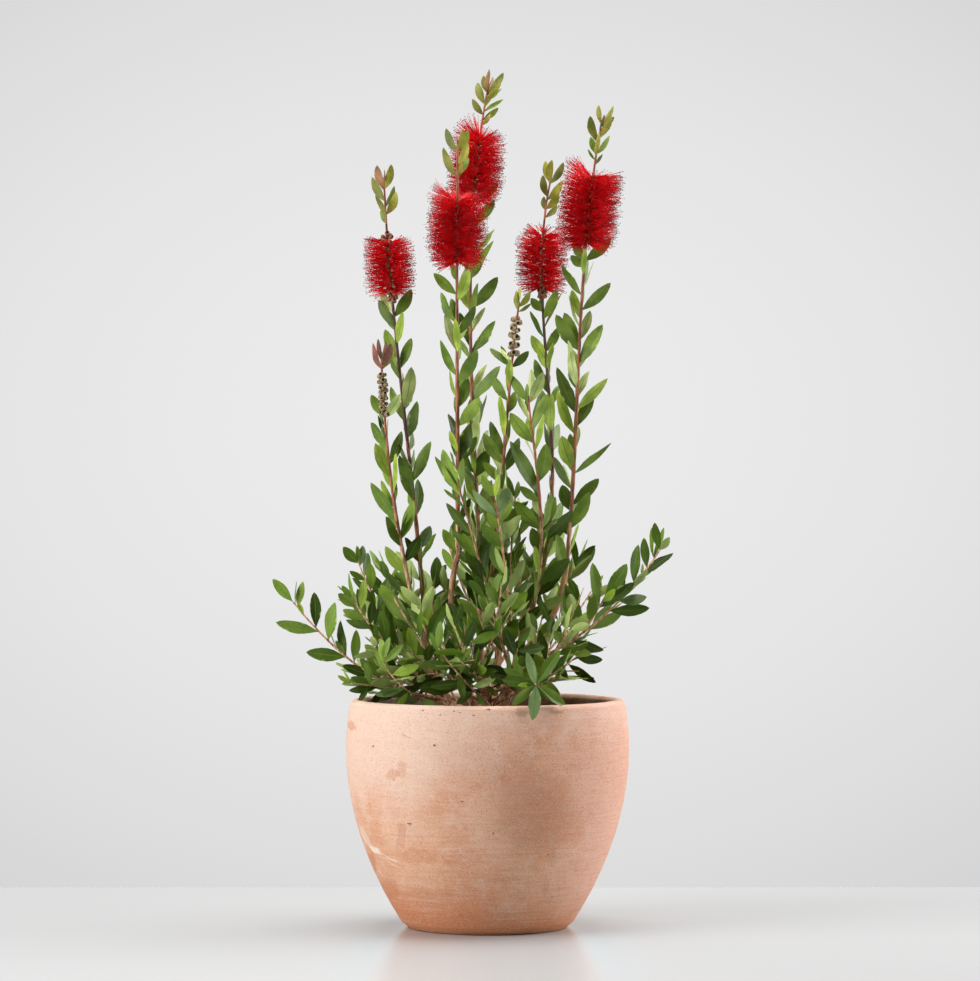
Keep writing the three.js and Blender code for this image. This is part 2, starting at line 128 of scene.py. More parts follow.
class Paint(Nodes):
    def __init__(self, name, constants):
        self.material = bpy.data.materials.new(name)
        self.material.use_nodes = True
        super().__init__(self.material.node_tree)
        self.shader = self.tree.nodes["Principled BSDF"]
        for socket, value in constants.items():
            self.shader.inputs[socket].default_value = value
        self.spot = self.node("ShaderNodeTexCoord", {}, {}, "Object")

    def finish(self, socket, value):
        self.plug(self.shader.inputs[socket], value)

    def cloud(self, size, detail=3, stretch=(1, 1, 1), rough=0.5):  # size is in metres
        spot = self.node("ShaderNodeMapping", {}, {"Vector": self.spot, "Scale": stretch})
        inputs = {"Vector": spot, "Scale": 1 / size, "Detail": detail, "Roughness": rough}
        return self.node("ShaderNodeTexNoise", {}, inputs)

    def mix(self, factor, first, second):
        return self.node("ShaderNodeMix", {"data_type": "RGBA"}, {0: factor, 6: first, 7: second}, 2)

    def relief(self, height, strength, distance):
        inputs = {"Height": height, "Strength": strength, "Distance": distance}
        self.finish("Normal", self.node("ShaderNodeBump", {}, inputs))


# The view, the light and the table

viewCamera = {
    "distance": 4.1,  # from the pot's axis, in metres
    "height": 0.46,
    "aside": 0.0026,
    "lens": 142.5,
}
eye = np.array([viewCamera["aside"], 0, viewCamera["height"]]) / mm  # put in the plane of the pot's axis
eyeDistance = viewCamera["distance"] / mm

studio = {
    "wall": (235, 208),  # brightest and darkest tone of the wall, painted as light falling off from its middle
    "wallMiddle": (-0.0064, 0.0194),  # brightest place, as the slope of a view ray across and up
    "wallFall": (17.4, 37.2),  # how fast it darkens across and up
    "mirrored": (0.3, 0.8),  # how far forward a glossy ray turns to see the wall
    "mirroredHeight": (0.3, 0.12),  # how level it is then
    "ambient": 0.05,
    "tableBehind": 0.404,  # how far the table goes on behind the pot's axis
    "tableReach": 3.2,
    "tableTone": (0.485, 0.555, 0.5),  # at its rear edge, and in front at the left and the right; the rear and the right are darker as painted shade
    "tableTurn": (-0.4, 0.4),  # where the left tone turns into the right one
    "tableFront": -0.4,  # where the rear tone ends
    "tableRoughness": 0.2,
    "paintedTableShade": ((0.5, 0.54, 0.553), (0.468, 0.525, 0.545)),  # painted shade and reflection in front of the pot: middle, sides
    "shadeAside": ((0.17, 0.08), (0.03, 0.07)),  # where the painted shade fades in, and its middle out
    "shadeAlong": ((0.0, -0.13), (-0.7, -0.48)),  # where it fades in before the pot, and ahead of that
}

lamps = [
    {"name": "window", "at": (-2.4, -1.2, 1.5), "size": 1.8, "power": 88},
    {"name": "right", "at": (2.6, 0.0, 1.4), "size": 1.8, "power": 58},
    {"name": "edge", "at": (2.2, 1.4, 1.5), "size": 1.6, "power": 40},
    {"name": "top", "at": (0.0, 0.2, 3.0), "size": 1.8, "power": 88},
]
lampAim = Vector((0, 0, 0.35))


def setCamera():
    place = (viewCamera["aside"], -viewCamera["distance"], viewCamera["height"])
    bpy.ops.object.camera_add(location=place, rotation=(math.radians(90), 0, 0))
    bpy.context.scene.camera = bpy.context.object
    bpy.context.object.data.lens = viewCamera["lens"]
    bpy.context.scene.view_settings.view_transform = "Standard"


def setLamps():
    for lamp in lamps:
        bpy.ops.object.light_add(type="AREA", location=lamp["at"])
        made = bpy.context.object
        made.name = lamp["name"]
        made.data.size = lamp["size"]
        made.data.energy = lamp["power"]
        made.rotation_euler = (lampAim - Vector(lamp["at"])).to_track_quat("-Z", "Y").to_euler()


def setWorld():
    world = bpy.data.worlds.new("studio")
    world.use_nodes = True
    bpy.context.scene.world = world
    world.node_tree.nodes.clear()
    nodes = Nodes(world.node_tree)
    x, y, z = nodes.axes(nodes.node("ShaderNodeTexCoord", {}, {}, "Generated"))
    # Painted light: the wall is brightest near its middle and darkens outwards
    across = x / abs(y) - studio["wallMiddle"][0]
    up = z / abs(y) - studio["wallMiddle"][1]
    fallAcross, fallUp = studio["wallFall"]
    dim = across * across * fallAcross + up * up * fallUp
    bright, dark = (tone(level, level, level) for level in studio["wall"])
    shade = nodes.node("ShaderNodeValToRGB", {"stops": [(0.0, bright), (1.0, dark)]}, {0: dim})
    wall = nodes.node("ShaderNodeBackground", {}, {"Color": shade})
    level = (studio["ambient"],) * 3 + (1.0,)
    ambient = nodes.node("ShaderNodeBackground", {}, {"Color": level})
    seen = nodes.node("ShaderNodeLightPath", {}, {}, "Is Camera Ray")
    glossy = nodes.node("ShaderNodeLightPath", {}, {}, "Is Glossy Ray")
    low = nodes.step(abs(z), *studio["mirroredHeight"])
    mirrored = glossy * nodes.step(y, *studio["mirrored"]) * low
    either = nodes.node("ShaderNodeMixShader", {}, {0: seen + mirrored, 1: ambient, 2: wall})
    nodes.plug(world.node_tree.nodes.new("ShaderNodeOutputWorld").inputs["Surface"], either)


def layTable():
    reach, behind = studio["tableReach"], studio["tableBehind"]
    bpy.ops.mesh.primitive_plane_add(size=2)
    table = bpy.context.object
    table.name = "table"
    table.scale = (reach, (reach + behind) / 2, 1)
    table.location = (0, (behind - reach) / 2, -0.0002)
    bpy.ops.object.transform_apply(location=True, scale=True)
    paint = Paint("table", {"Roughness": studio["tableRoughness"]})
    x, y, _ = paint.axes(paint.spot)
    # Painted shade: the table darker towards the rear and on the right
    rear, left, right = ((level, level, level, 1) for level in studio["tableTone"])
    front = paint.mix(paint.step(x, *studio["tableTurn"]), left, right)
    base = paint.mix(paint.step(y, behind, studio["tableFront"]), rear, front)
    # Painted shade and reflection: a soft darker patch where the pot's mirror image and contact shadow fall,
    # tinted cool against the pot's warm reflection
    (outer, inner), (near, far), aside = studio["shadeAside"], studio["shadeAlong"], abs(x)
    mirrored = paint.step(aside, *outer) * paint.step(y, *near) * paint.step(y, *far)
    middle, sides = ((*shade, 1) for shade in studio["paintedTableShade"])
    shade = paint.mix(paint.step(aside, *inner), middle, sides)
    paint.finish("Base Color", paint.mix(mirrored, base, shade))
    table.data.materials.append(paint.material)


setCamera()
setLamps()
setWorld()
layTable()
print("view, light and table are set")

# The growth rule, of the same kind as the solids', with more twigs and leaves

potShape = {
    "rimHeight": 240,
    "bellyRadius": 149.5,
    "bellyHeight": 190,
    "footRadius": 86,
    "footPower": 0.88,
    "shoulderCurve": 0.002,
    "wall": 15,
    "lip": 5,
    "soil": 210,
}

limbs = {  # the cubic curve of each, in millimetres, and its radii at foot and tip
    "limb_left": ([(-12, 0, 221), (-50, 3, 230), (-62, 6, 262), (-66, 8, 315)], (6.5, 4.4)),
    "limb_middle_left": ([(-8, -11, 224), (-22, -22, 245), (-52, -30, 320), (-31, -32, 392)], (4.4, 2.8)),
    "limb_middle": ([(-3, 6, 226), (-8, 12, 260), (-9, 15, 300), (-7, 17, 344)], (5, 3.3)),
    "limb_right": ([(12, 2, 224), (22, 4, 240), (30, 1, 275), (40, 2, 318)], (6, 4)),
    "limb_far_right": ([(31, 0, 288), (62, -5, 302), (76, -8, 336), (83, -10, 378)], (3.6, 2.9)),
    "limb_back": ([(2, 12, 224), (6, 34, 236), (11, 50, 266), (13, 58, 305)], (4.8, 3.4)),
    "limb_front": ([(4, -13, 222), (3, -36, 226), (0, -56, 246), (-4, -64, 282)], (4.4, 3)),
}

tall = {"spacing": 11, "leaf": 51, "rise": 47, "radius": 2.5, "bare": 0.04, "tones": "tall"}
medium = {"spacing": 10.5, "leaf": 45, "rise": 46, "radius": 1.8, "bare": 0.08, "tones": "low", "twigs": 1}
low = {"spacing": 10.5, "leaf": 44, "rise": 50, "radius": 1.9, "bare": 0.06, "tones": "low", "twigs": 3}
rim = {"spacing": 8, "leaf": 38, "rise": 52, "radius": 1.5, "bare": 0.25, "tones": "low"}
twig = {"spacing": 8.5, "leaf": 39, "rise": 48, "bare": 0.14, "tones": "low"}

# Tones of a stem: at its foot, along it and near its tip
dark, brown, fair = ("brown", "dark", "red"), ("wood", "brown", "red"), ("wood", "fair", "red")

# Leaves given one by one: share of the shoot, angle in the front view, length, tone, depth, roll
farLeftLeaves = [
    (1.0, 132, 32, "mid", 0.1, 15), (0.985, 88, 25, "fresh", -0.1, 70), (0.97, 80, 28, "fresh", -0.2, 10),
    (0.93, 112, 14, "fresh", -0.3, 20), (0.85, 93, 38, "dark", 0.1, -25),
    (0.83, 169, 46, "mid", -0.1, 10), (0.77, 82, 41, "mid", -0.1, 15), (0.72, 104, 27, "mid", 0.2, 78),
    (0.65, 104, 39, "dark", 0.1, 30), (0.65, 173, 42, "deep", -0.1, -12), (0.65, 125, 21, "mid", 0.2, 30),
    (0.6, 84, 35, "mid", -0.2, 0), (0.47, 162, 36, "dark", -0.2, -20), (0.45, 131, 29, "deep", 0.2, 10),
    (0.42, 115, 35, "mid", -0.1, 0), (0.41, 140, 28, "deep", 0.2, 15), (0.34, 70, 30, "deep", -0.2, 15),
    (0.28, 200, 30, "dark", -0.2, 25),
]
frontRimLeaves = [
    (1.0, 106, 34, "dusty", 0.1, 15), (0.99, 265, 37, "dusty", -0.28, 12),
    (0.985, 218, 33, "mid", -0.2, 35), (0.97, 173, 34, "dark", 0.05, -15),
    (1.0, 56, 43, "deep", 0.15, 20), (0.98, 118, 18, "dusty", 0.3, 45), (0.94, 187, 18, "fresh", -0.3, 0),
    (1.0, -36, 38, "mid", 0.25, 10), (1.0, -44, 36, "dusty", 0.3, 78), (0.8, 150, 30, "deep", 0.2, 0),
    (0.7, 20, 27, "deep", -0.1, 10), (0.62, 100, 30, "mid", 0.1, 15), (0.5, 160, 30, "dark", -0.2, 10),
]

# Leaves of the shoots and the outer branches, set one by one as the front view shows them in the plane
# of the pot's axis: height of the root, the tip across and up, width seen, tone, and lean backwards
seenLeaves = {
    "flower_shoot_left": [
        (741, -113.5, 756, 3.5, "deep", 0.4), (746, -117, 773, 5, "olive", -0.4),
        (765, -121, 792, 7.5, "olive", 0.2), (751, -94.5, 775, 7.5, "young", -0.3),
        (758, -99, 783, 5.5, "olive", 0.6), (776, -117, 804, 6.5, "blush", 0.2),
        (778, -101.5, 804, 7, "young", -0.2), (782, -104, 802, 4.5, "blush", 0.5),
        (782, -109, 799, 2, "bud", -0.1), (632, -115.5, 662, 8, "dark", 0.3),
        (648, -112, 669, 9, "under", 0.7), (643, -80, 673, 12, "deep", 0.2),
        (614, -90, 648, 9.5, "fresh", -0.6), (587, -81, 622, 10, "deep", 0.3),
        (598, -108, 629, 11, "mid", 0.5), (576, -102.5, 601, 4, "dark", 0.1),
        (546, -80, 590, 12.5, "under", -0.5), (531, -103, 570, 11, "mid", 0.4),
        (514, -73, 555, 10, "deep", 0.2), (512, -90, 535, 3, "deep", 0.8),
        (470, -89, 512, 7, "under", -0.7), (468, -62, 513, 13, "mid", -0.1),
        (448, -93, 497, 12, "deep", -0.4), (432, -73, 473, 9, "deep", 0.5),
        (398, -60, 422.5, 12, "dusty", 0.1), (383, -55, 415.5, 4, "mid", 0.4),
    ],
    "fruit_shoot_left": [
        (588, -123, 616, 6, "rosy", 0.2), (596, -114.5, 620, 3.5, "rosy", -0.3),
        (596, -107, 618, 4, "rosy", 0.5), (591, -102, 616, 7, "rosy", -0.3),
        (588, -99.5, 608, 5, "olive", 0.3), (537, -123, 561, 10, "mid", 0.1),
        (536, -91, 562, 10, "under", -0.5), (508, -117.5, 540, 4.5, "deep", 0.2),
        (510, -104.5, 537, 2.5, "under", 0.7), (472, -117.5, 510, 11, "fresh", -0.3),
        (487, -91, 523, 11, "deep", 0.4), (455, -94, 500, 4, "fresh", -0.6),
        (442, -98, 471, 4, "deep", 0.6), (427, -121, 470, 13, "deep", 0.1),
        (408, -75, 450, 11, "mid", -0.2), (412, -85.5, 436, 2.5, "fresh", -0.5),
        (400, -110, 433, 9, "mid", -0.4), (384, -72.5, 411, 12, "dark", 0.2),
        (371, -109, 401, 12, "fresh", 0.1), (345, -107, 378, 8, "dark", 0.3),
    ],
    "flower_shoot_front": [
        (790, -46, 823, 7, "olive", 0.1), (816, -44, 843, 6, "olive", 0.2),
        (803, -20.5, 827, 7, "young", -0.2), (790, -20, 812, 5, "mid", 0.4),
        (791, -27.5, 806, 3.5, "young", -0.6), (818, -20, 841, 6.5, "young", 0.1),
        (818, -25.5, 841, 5, "young", -0.4), (815, -33, 837, 3, "blush", 0.5),
        (672, -17, 701, 8, "under", 0.5), (667, -57, 690, 10.5, "mid", 0.1),
        (659, -19, 693, 11, "fresh", -0.5), (636, -51, 670, 7, "deep", 0.3),
        (622, -13.5, 655, 9, "deep", -0.3), (607, -45, 648, 11, "under", 0.3),
        (605, -33, 641, 7, "fresh", -0.7), (580, -52, 619, 10, "deep", 0.2),
        (573, -10, 608, 13, "deep", -0.3), (557, -40.5, 588, 4.5, "mid", 0.5),
        (546, -21, 579, 12, "deep", 0.2), (536, -36, 559, 6, "mid", 0.7), (527, -7, 558, 13, "mid", -0.2),
        (505, -41, 542, 5, "dark", 0.3), (498, -39.5, 524, 5, "fresh", -0.4),
        (488, -19, 531, 13, "dark", 0.1), (492, -26.5, 525, 8, "deep", 0.6),
        (394, -47, 419.5, 11, "mid", 0.1),
    ],
    "flower_shoot_top": [
        (856, -15, 874, 6, "olive", 0.2), (867, -10.5, 893, 7, "olive", 0.3),
        (850, 11.5, 864, 6, "mid", -0.2), (859, 17, 874, 6, "mid", 0.3), (863, 13, 890, 5, "young", -0.5),
        (876, 17.5, 901, 6, "olive", 0.2), (872, 16, 885, 3.5, "mid", 0.5),
        (880, -4, 899, 5.5, "olive", 0.3), (880, 0, 905, 5.5, "blush", -0.2),
        (880, 6, 898, 4, "blush", 0.4), (846, 3, 857, 4, "young", -0.6), (765, 11, 785, 8, "mid", 0.3),
        (739, 7.5, 767, 10, "mid", 0.1), (704, 8.5, 737, 8, "under", 0.4), (687, 5, 724, 9, "deep", -0.3),
        (684, -22, 709, 7, "deep", 0.4), (652, 10.5, 686, 11, "deep", 0.1),
        (637, -11, 678, 7, "deep", -0.6), (650, -27, 680, 11, "fresh", 0.3),
        (625, -3.5, 656, 6, "under", 0.5), (604, 8, 640, 12, "deep", 0.1),
        (610, -28, 650, 9, "dark", 0.3), (609, -17, 636, 5, "dark", 0.6), (560, -2, 595, 7, "under", 0.5),
        (556, -20, 592, 9, "under", 0.3), (555, 14, 591, 11, "deep", -0.2),
        (522, -0.5, 562, 4, "deep", 0.2), (522, -17, 560, 9, "deep", 0.3),
    ],
    "flower_shoot_back": [
        (756, 59.5, 771, 5, "olive", 0.3), (770, 58, 793, 6.5, "olive", 0.1),
        (785, 61.5, 809, 6.5, "young", 0.3), (783, 68, 808, 6.5, "young", -0.4),
        (757, 75.5, 772, 7, "young", -0.2), (766, 79, 787, 7, "young", 0.1),
        (783, 79.5, 807, 6, "olive", 0.2), (748, 74, 762, 5, "olive", 0.4),
        (640, 73, 671, 11, "mid", -0.3), (632, 81, 674, 5, "under", 0.4), (648, 46, 663, 9, "mid", 0.2),
        (620, 45, 650, 4, "deep", 0.2), (598, 46, 624, 11, "fresh", 0.1), (606, 76, 633, 9, "deep", 0.2),
        (588, 68, 616, 4.5, "fresh", -0.6), (571, 70, 612, 2, "under", 0.6),
        (561, 48, 598, 11, "deep", 0.2), (548, 74, 572, 7, "mid", 0.4),
        (522, 65.5, 563, 8, "fresh", -0.5), (524, 56, 568, 11, "mid", 0.3),
        (505, 68.5, 546, 5, "under", 0.7), (500, 58.5, 532, 6, "dark", 0.4),
        (425, 70, 455, 7.5, "fresh", -0.4),
    ],
    "flower_shoot_right": [
        (808, 106.5, 821, 2.2, "deep", 0.3), (815, 109, 834, 6.5, "mid", 0.2),
        (826, 108.5, 856, 6.5, "olive", 0.1), (803, 120.5, 816, 3.5, "deep", 0.3),
        (815, 130, 835, 6.5, "mid", 0.2), (812, 118.5, 836, 4, "young", -0.6),
        (830, 129.5, 857, 6, "young", -0.3), (838, 134.5, 854, 5, "deep", 0.3),
        (843, 133, 867, 5, "young", 0.2), (842, 123.5, 857, 2.2, "bud", -0.1),
        (846, 117, 867, 4.5, "young", 0.2), (702, 131, 727, 11, "deep", 0.2),
        (686, 101, 716, 5.5, "fresh", -0.6), (695, 86.5, 708, 9, "mid", -0.8),
        (674, 113, 703, 3.5, "under", 0.3), (666, 77, 699, 9, "deep", 0.1),
        (650, 128.5, 681, 11.5, "deep", 0.1), (641, 89, 671, 8, "fresh", 0.5),
        (630, 87, 668, 1.6, "under", 0.4), (618, 109, 650, 9, "under", 0.5),
        (607, 72.5, 646, 12, "deep", 0.1), (593, 120, 636, 13, "mid", -0.1),
        (568, 85.5, 618, 11, "under", -0.5), (586, 89.5, 611, 5, "fresh", 0.5),
        (556, 106.5, 588, 8, "under", 0.5), (545, 124, 581.5, 12, "fresh", -0.1),
        (541, 74.5, 591, 13, "dark", 0.1), (526, 112, 564, 11, "deep", 0.3),
        (519, 73.5, 566, 9, "fresh", 0.4), (478, 130, 512, 9.5, "deep", 0.1),
        (482, 76, 519, 15, "fresh", -0.3), (498, 87, 519, 8, "deep", 0.5),
        (460, 70, 496, 6.5, "dusty", 0.1), (388, 73, 411, 6, "under", 0.3),
        (380, 72, 396, 8, "under", 0.4), (444, 118, 473, 11, "deep", 0.2),
        (438, 79, 466, 13, "deep", 0.3), (419, 107, 458, 12, "mid", -0.3),
    ],
    "low_branch_left_high": [
        (383, -153, 400, 11, "deep", 0.1), (385, -138, 402, 4.5, "fresh", -0.2),
        (380, -132, 402, 8, "dusty", 0.1), (365, -146, 376, 6.5, "mid", -0.2),
        (354, -124.5, 384, 10, "mid", 0.1),
    ],
    "low_branch_left_middle": [
        (346, -154, 360, 6, "deep", 0.1), (345, -147, 373, 5.5, "mid", -0.2),
        (337, -158, 351.5, 10, "mid", -0.1), (324, -152.5, 335, 10, "mid", 0.1),
        (314, -149.5, 324, 7.5, "deep", -0.2), (333, -131, 366, 8, "fresh", -0.3),
        (336, -138, 356, 4, "dark", 0.4), (326, -131, 347, 5, "deep", 0.3),
        (318, -122, 344, 9, "dark", 0.2), (312, -113, 338, 7, "dark", 0.4),
    ],
    "low_branch_left_back": [
        (368, -126.5, 396, 8, "mid", 0.1), (366, -116, 397, 2.5, "deep", 0.4),
    ],
    "low_branch_front_left": [
        (312, -115, 358, 12, "mid", -0.1), (338, -113, 361, 10, "mid", 0.1),
    ],
    "leaf_shoot_left": [
        (477, -18, 502, 5, "fresh", -0.2), (474, -1, 503, 14, "deep", 0.1),
        (460, -22, 483, 6, "dark", 0.4), (450, -24, 486, 8, "dusty", 0.1),
    ],
    "leaf_shoot_middle": [
        (452, 11, 477, 6, "fresh", -0.3), (453, -7, 476, 9, "mid", 0.1), (437, 22, 462, 12, "dusty", 0.5),
        (434, -17, 460, 10, "dusty", -0.2), (425, 26, 447, 6.5, "fresh", -0.5),
        (419, 0, 437, 8, "mid", 0.2), (400, -6, 424, 12, "deep", 0.2), (370, 3, 405, 13, "deep", 0.3),
    ],
    "leaf_shoot_middle_back": [
        (452, 22, 476, 7, "mid", 0.1), (450, 33, 470, 6, "mid", 0.3),
    ],
    "low_branch_right_far": [
        (399, 175.5, 426, 9, "deep", 0.1), (397, 192, 411, 7.5, "under", -0.3),
        (372, 194, 397, 10, "dark", 0.1), (378, 165.5, 410, 8.5, "deep", -0.2),
        (388, 173.5, 421, 2, "mid", 0.4), (361, 159.5, 403, 9, "deep", 0.1),
        (357, 169, 376, 6, "under", -0.4), (370, 164.5, 383, 3, "under", 0.4),
        (343, 168, 348, 11, "dusty", -0.5), (333, 171, 336, 10.5, "dark", -0.1),
        (313, 143, 334, 11, "mid", 0.2), (304, 97, 340, 11, "deep", 0.2),
        (297, 109, 287, 11.5, "fresh", -0.5), (302, 123, 290, 10, "dark", 0.1),
        (288, 86, 262, 9, "deep", -0.3),
    ],
    "sprig 0": [
        (350, 148, 382, 14, "deep", 0.1), (342, 136, 356.5, 8, "fresh", -0.6),
        (341, 146, 366, 12, "dark", 0.5), (336, 156, 361, 10, "dark", 0.2),
        (337, 111, 384, 10, "mid", -0.1), (320, 115, 352, 11, "mid", -0.3),
        (330, 107, 349, 5, "deep", 0.4),
    ],
    "low_branch_right_low": [
        (284, 122, 281, 10, "dark", 0.1), (280, 127, 295, 2.5, "dark", 0.3),
        (277, 116, 259, 9.5, "deep", -0.1),
    ],
    "leaf_shoot_short_right": [
        (376, 114, 400, 12, "dusty", 0.1), (379, 106.5, 409, 3.5, "mid", 0.4),
        (379, 91.5, 408, 7, "deep", 0.1),
    ],
    "leaf_shoot_short_left": [
        (360, -53, 390, 12, "dark", 0.1), (356, -45, 379, 6, "dark", 0.4),
    ],
    "leaf_shoot_middle_left": [
        (452, -47, 504, 14, "mid", 0.1), (458, -54.5, 497, 8, "deep", 0.4),
        (440, -47, 461, 2.5, "deep", 0.5), (412, -41, 449, 11, "dark", 0.1),
        (388, -38, 420, 10, "deep", 0.3), (388, -27, 415, 11, "mid", -0.1),
        (362, -15, 390, 11, "dark", -0.4),
    ],
    "leaf_shoot_right": [
        (558, 42.5, 573, 4, "mid", 0.1), (552, 59, 585, 11, "under", -0.2),
        (555, 48.5, 590, 7, "under", 0.6), (553, 23.5, 583, 10, "deep", 0.1),
        (540, 42, 562, 3, "mid", 0.4), (532, 31, 565, 4, "under", 0.3),
        (510, 23.5, 541.5, 13, "mid", -0.2), (522, 56, 563, 9, "deep", 0.4),
        (500, 58, 541, 6, "fresh", -0.5), (453, 26, 514, 15, "deep", 0.1),
        (468, 64, 511, 15, "deep", -0.3), (418, 28, 449, 14, "mid", 0.1), (418, 69.5, 458, 8, "mid", 0.4),
        (432, 47.5, 455, 7, "under", 0.3), (448, 33.5, 465, 9, "mid", 0.3),
        (393, 47, 421, 12, "mid", 0.1), (406, 90.5, 438, 10, "dark", -0.4),
    ],
    "fruit_shoot_middle": [
        (650, 30.5, 672, 4.5, "olive", 0.2), (655, 35.5, 674, 3, "young", 0.3),
        (653, 45.5, 670, 5.5, "young", -0.1), (648, 46, 658, 3, "olive", 0.2),
        (590, 43.5, 607, 8.5, "dark", 0.3), (572, 24, 598, 8, "fresh", -0.6),
        (590, 2.5, 611, 6, "deep", 0.2), (594, 13, 610, 4, "under", 0.6), (554, 3, 583, 9, "deep", 0.1),
        (541, 29.5, 565, 9, "mid", 0.2), (515, 12.5, 560, 6, "fresh", -0.4),
        (495, 2, 533, 9, "deep", 0.2), (498, 25, 536, 5, "mid", 0.5), (488, -6, 521, 12, "mid", -0.2),
        (478, 33, 516, 12, "deep", 0.3),
    ],
}

# Places in the front view that stay open between the shoots: left, right, foot and top
openGaps = [
    (-71, -49, 426, 502), (-50, -40, 416, 458), (-58, -48, 392, 430), (98, 126, 410, 445),
    (116, 126, 388, 415), (97, 110, 343, 372), (126, 200, 240, 322), (118, 200, 240, 274),
    (148, 160, 364, 440), (-70, -46, 504, 575), (-136, -130, 295, 315), (23, 37, 464, 492),
    (41, 49, 393, 421), (-84, -77, 412, 426), (-104, -94, 518, 540), (-97, -90, 434, 448),
    (50, 61, 636, 652), (96, 109, 468, 490), (86, 112, 269, 281), (78, 200, 240, 259),
    (-130, -115, 262, 268), (98, 108, 512, 538), (93, 101, 482, 508), (-6, 4, 528, 556),
    (64, 79, 286, 301), (-130, -112, 398, 440),
]

sprigs = [  # short twigs given one by one as well; a list of leaves, even an empty one, keeps others off
    {"curve": [(104, -28, 316), (110, -32, 328), (118, -34, 338), (123, -36, 350)], "leaves": []},
    {"curve": [(-30, -22, 230), (-52, -60, 234), (-88, -96, 246), (-108, -98, 284)], "leaves": [
        (0.62, 185, 29, "dark", -0.1, 20), (0.68, 192, 32, "dark", 0.2, -10),
        (0.64, 236, 24, "mid", -0.3, 10), (0.86, 20, 31, "fresh", -0.3, 5),
        (0.98, 45, 28, "mid", -0.2, 15), (0.86, 126, 30, "mid", 0.1, 10),
        (0.96, 100, 28, "fresh", 0.1, 30), (1.0, 75, 26, "mid", -0.1, 15),
        (0.5, 330, 26, "deep", -0.2, 10),
    ]},
    {"curve": [(2, -58, 236), (-4, -90, 246), (-24, -112, 260), (-50, -114, 298)], "leaves": [
        (0.6, 186, 37, "dark", -0.1, 10), (0.8, 171, 33, "dark", -0.1, -10),
        (0.85, 34, 28, "mid", -0.1, 10), (0.72, 282, 26, "deep", -0.1, 25), (0.7, 75, 31, "mid", 0.1, 15),
        (0.93, 122, 28, "deep", 0.1, 20), (1.0, 88, 28, "mid", -0.1, 10),
        (0.45, 215, 25, "deep", -0.5, 10), (0.42, 302, 20, "deep", -0.5, 20),
        (0.5, 20, 27, "under", -0.2, 20),
    ]},
    {"curve": [(-34, 4, 230), (-70, 10, 246), (-110, -16, 254), (-143, -34, 258)], "leaves": [
        (1.0, 149, 16, "fresh", -0.1, 10), (0.99, 126, 17, "fresh", 0.1, 40),
        (0.72, 187, 32, "dark", -0.2, 10), (0.82, 240, 22, "dark", -0.3, 10),
        (0.8, 100, 26, "deep", -0.1, 10), (0.72, 160, 32, "deep", -0.3, -15),
        (0.62, 215, 27, "dark", -0.4, 20), (0.55, 80, 30, "deep", 0.1, 20),
    ]},
    {"curve": [(1, -46, 241), (-5, -78, 246), (-14, -96, 264), (-18, -100, 302)], "leaves": [
        (1.0, 24, 30, "mid", -0.1, 10), (0.97, 104, 27, "deep", 0.1, 15),
        (0.92, 216, 27, "mid", -0.3, 10), (0.66, 10, 24, "deep", -0.2, 15),
        (0.62, 141, 25, "dark", -0.1, 10), (0.56, 186, 32, "dark", -0.2, 12),
        (0.7, 80, 23, "mid", 0.1, 40),
    ]},
    {"curve": [(4, -44, 240), (14, -72, 246), (27, -90, 262), (31, -96, 297)], "leaves": [
        (0.97, 7, 30, "dark", -0.1, 15), (0.9, 110, 33, "dark", 0.1, 10), (1.0, 62, 27, "deep", 0.2, 20),
        (0.68, 160, 28, "dark", -0.1, 15),
    ]},
]

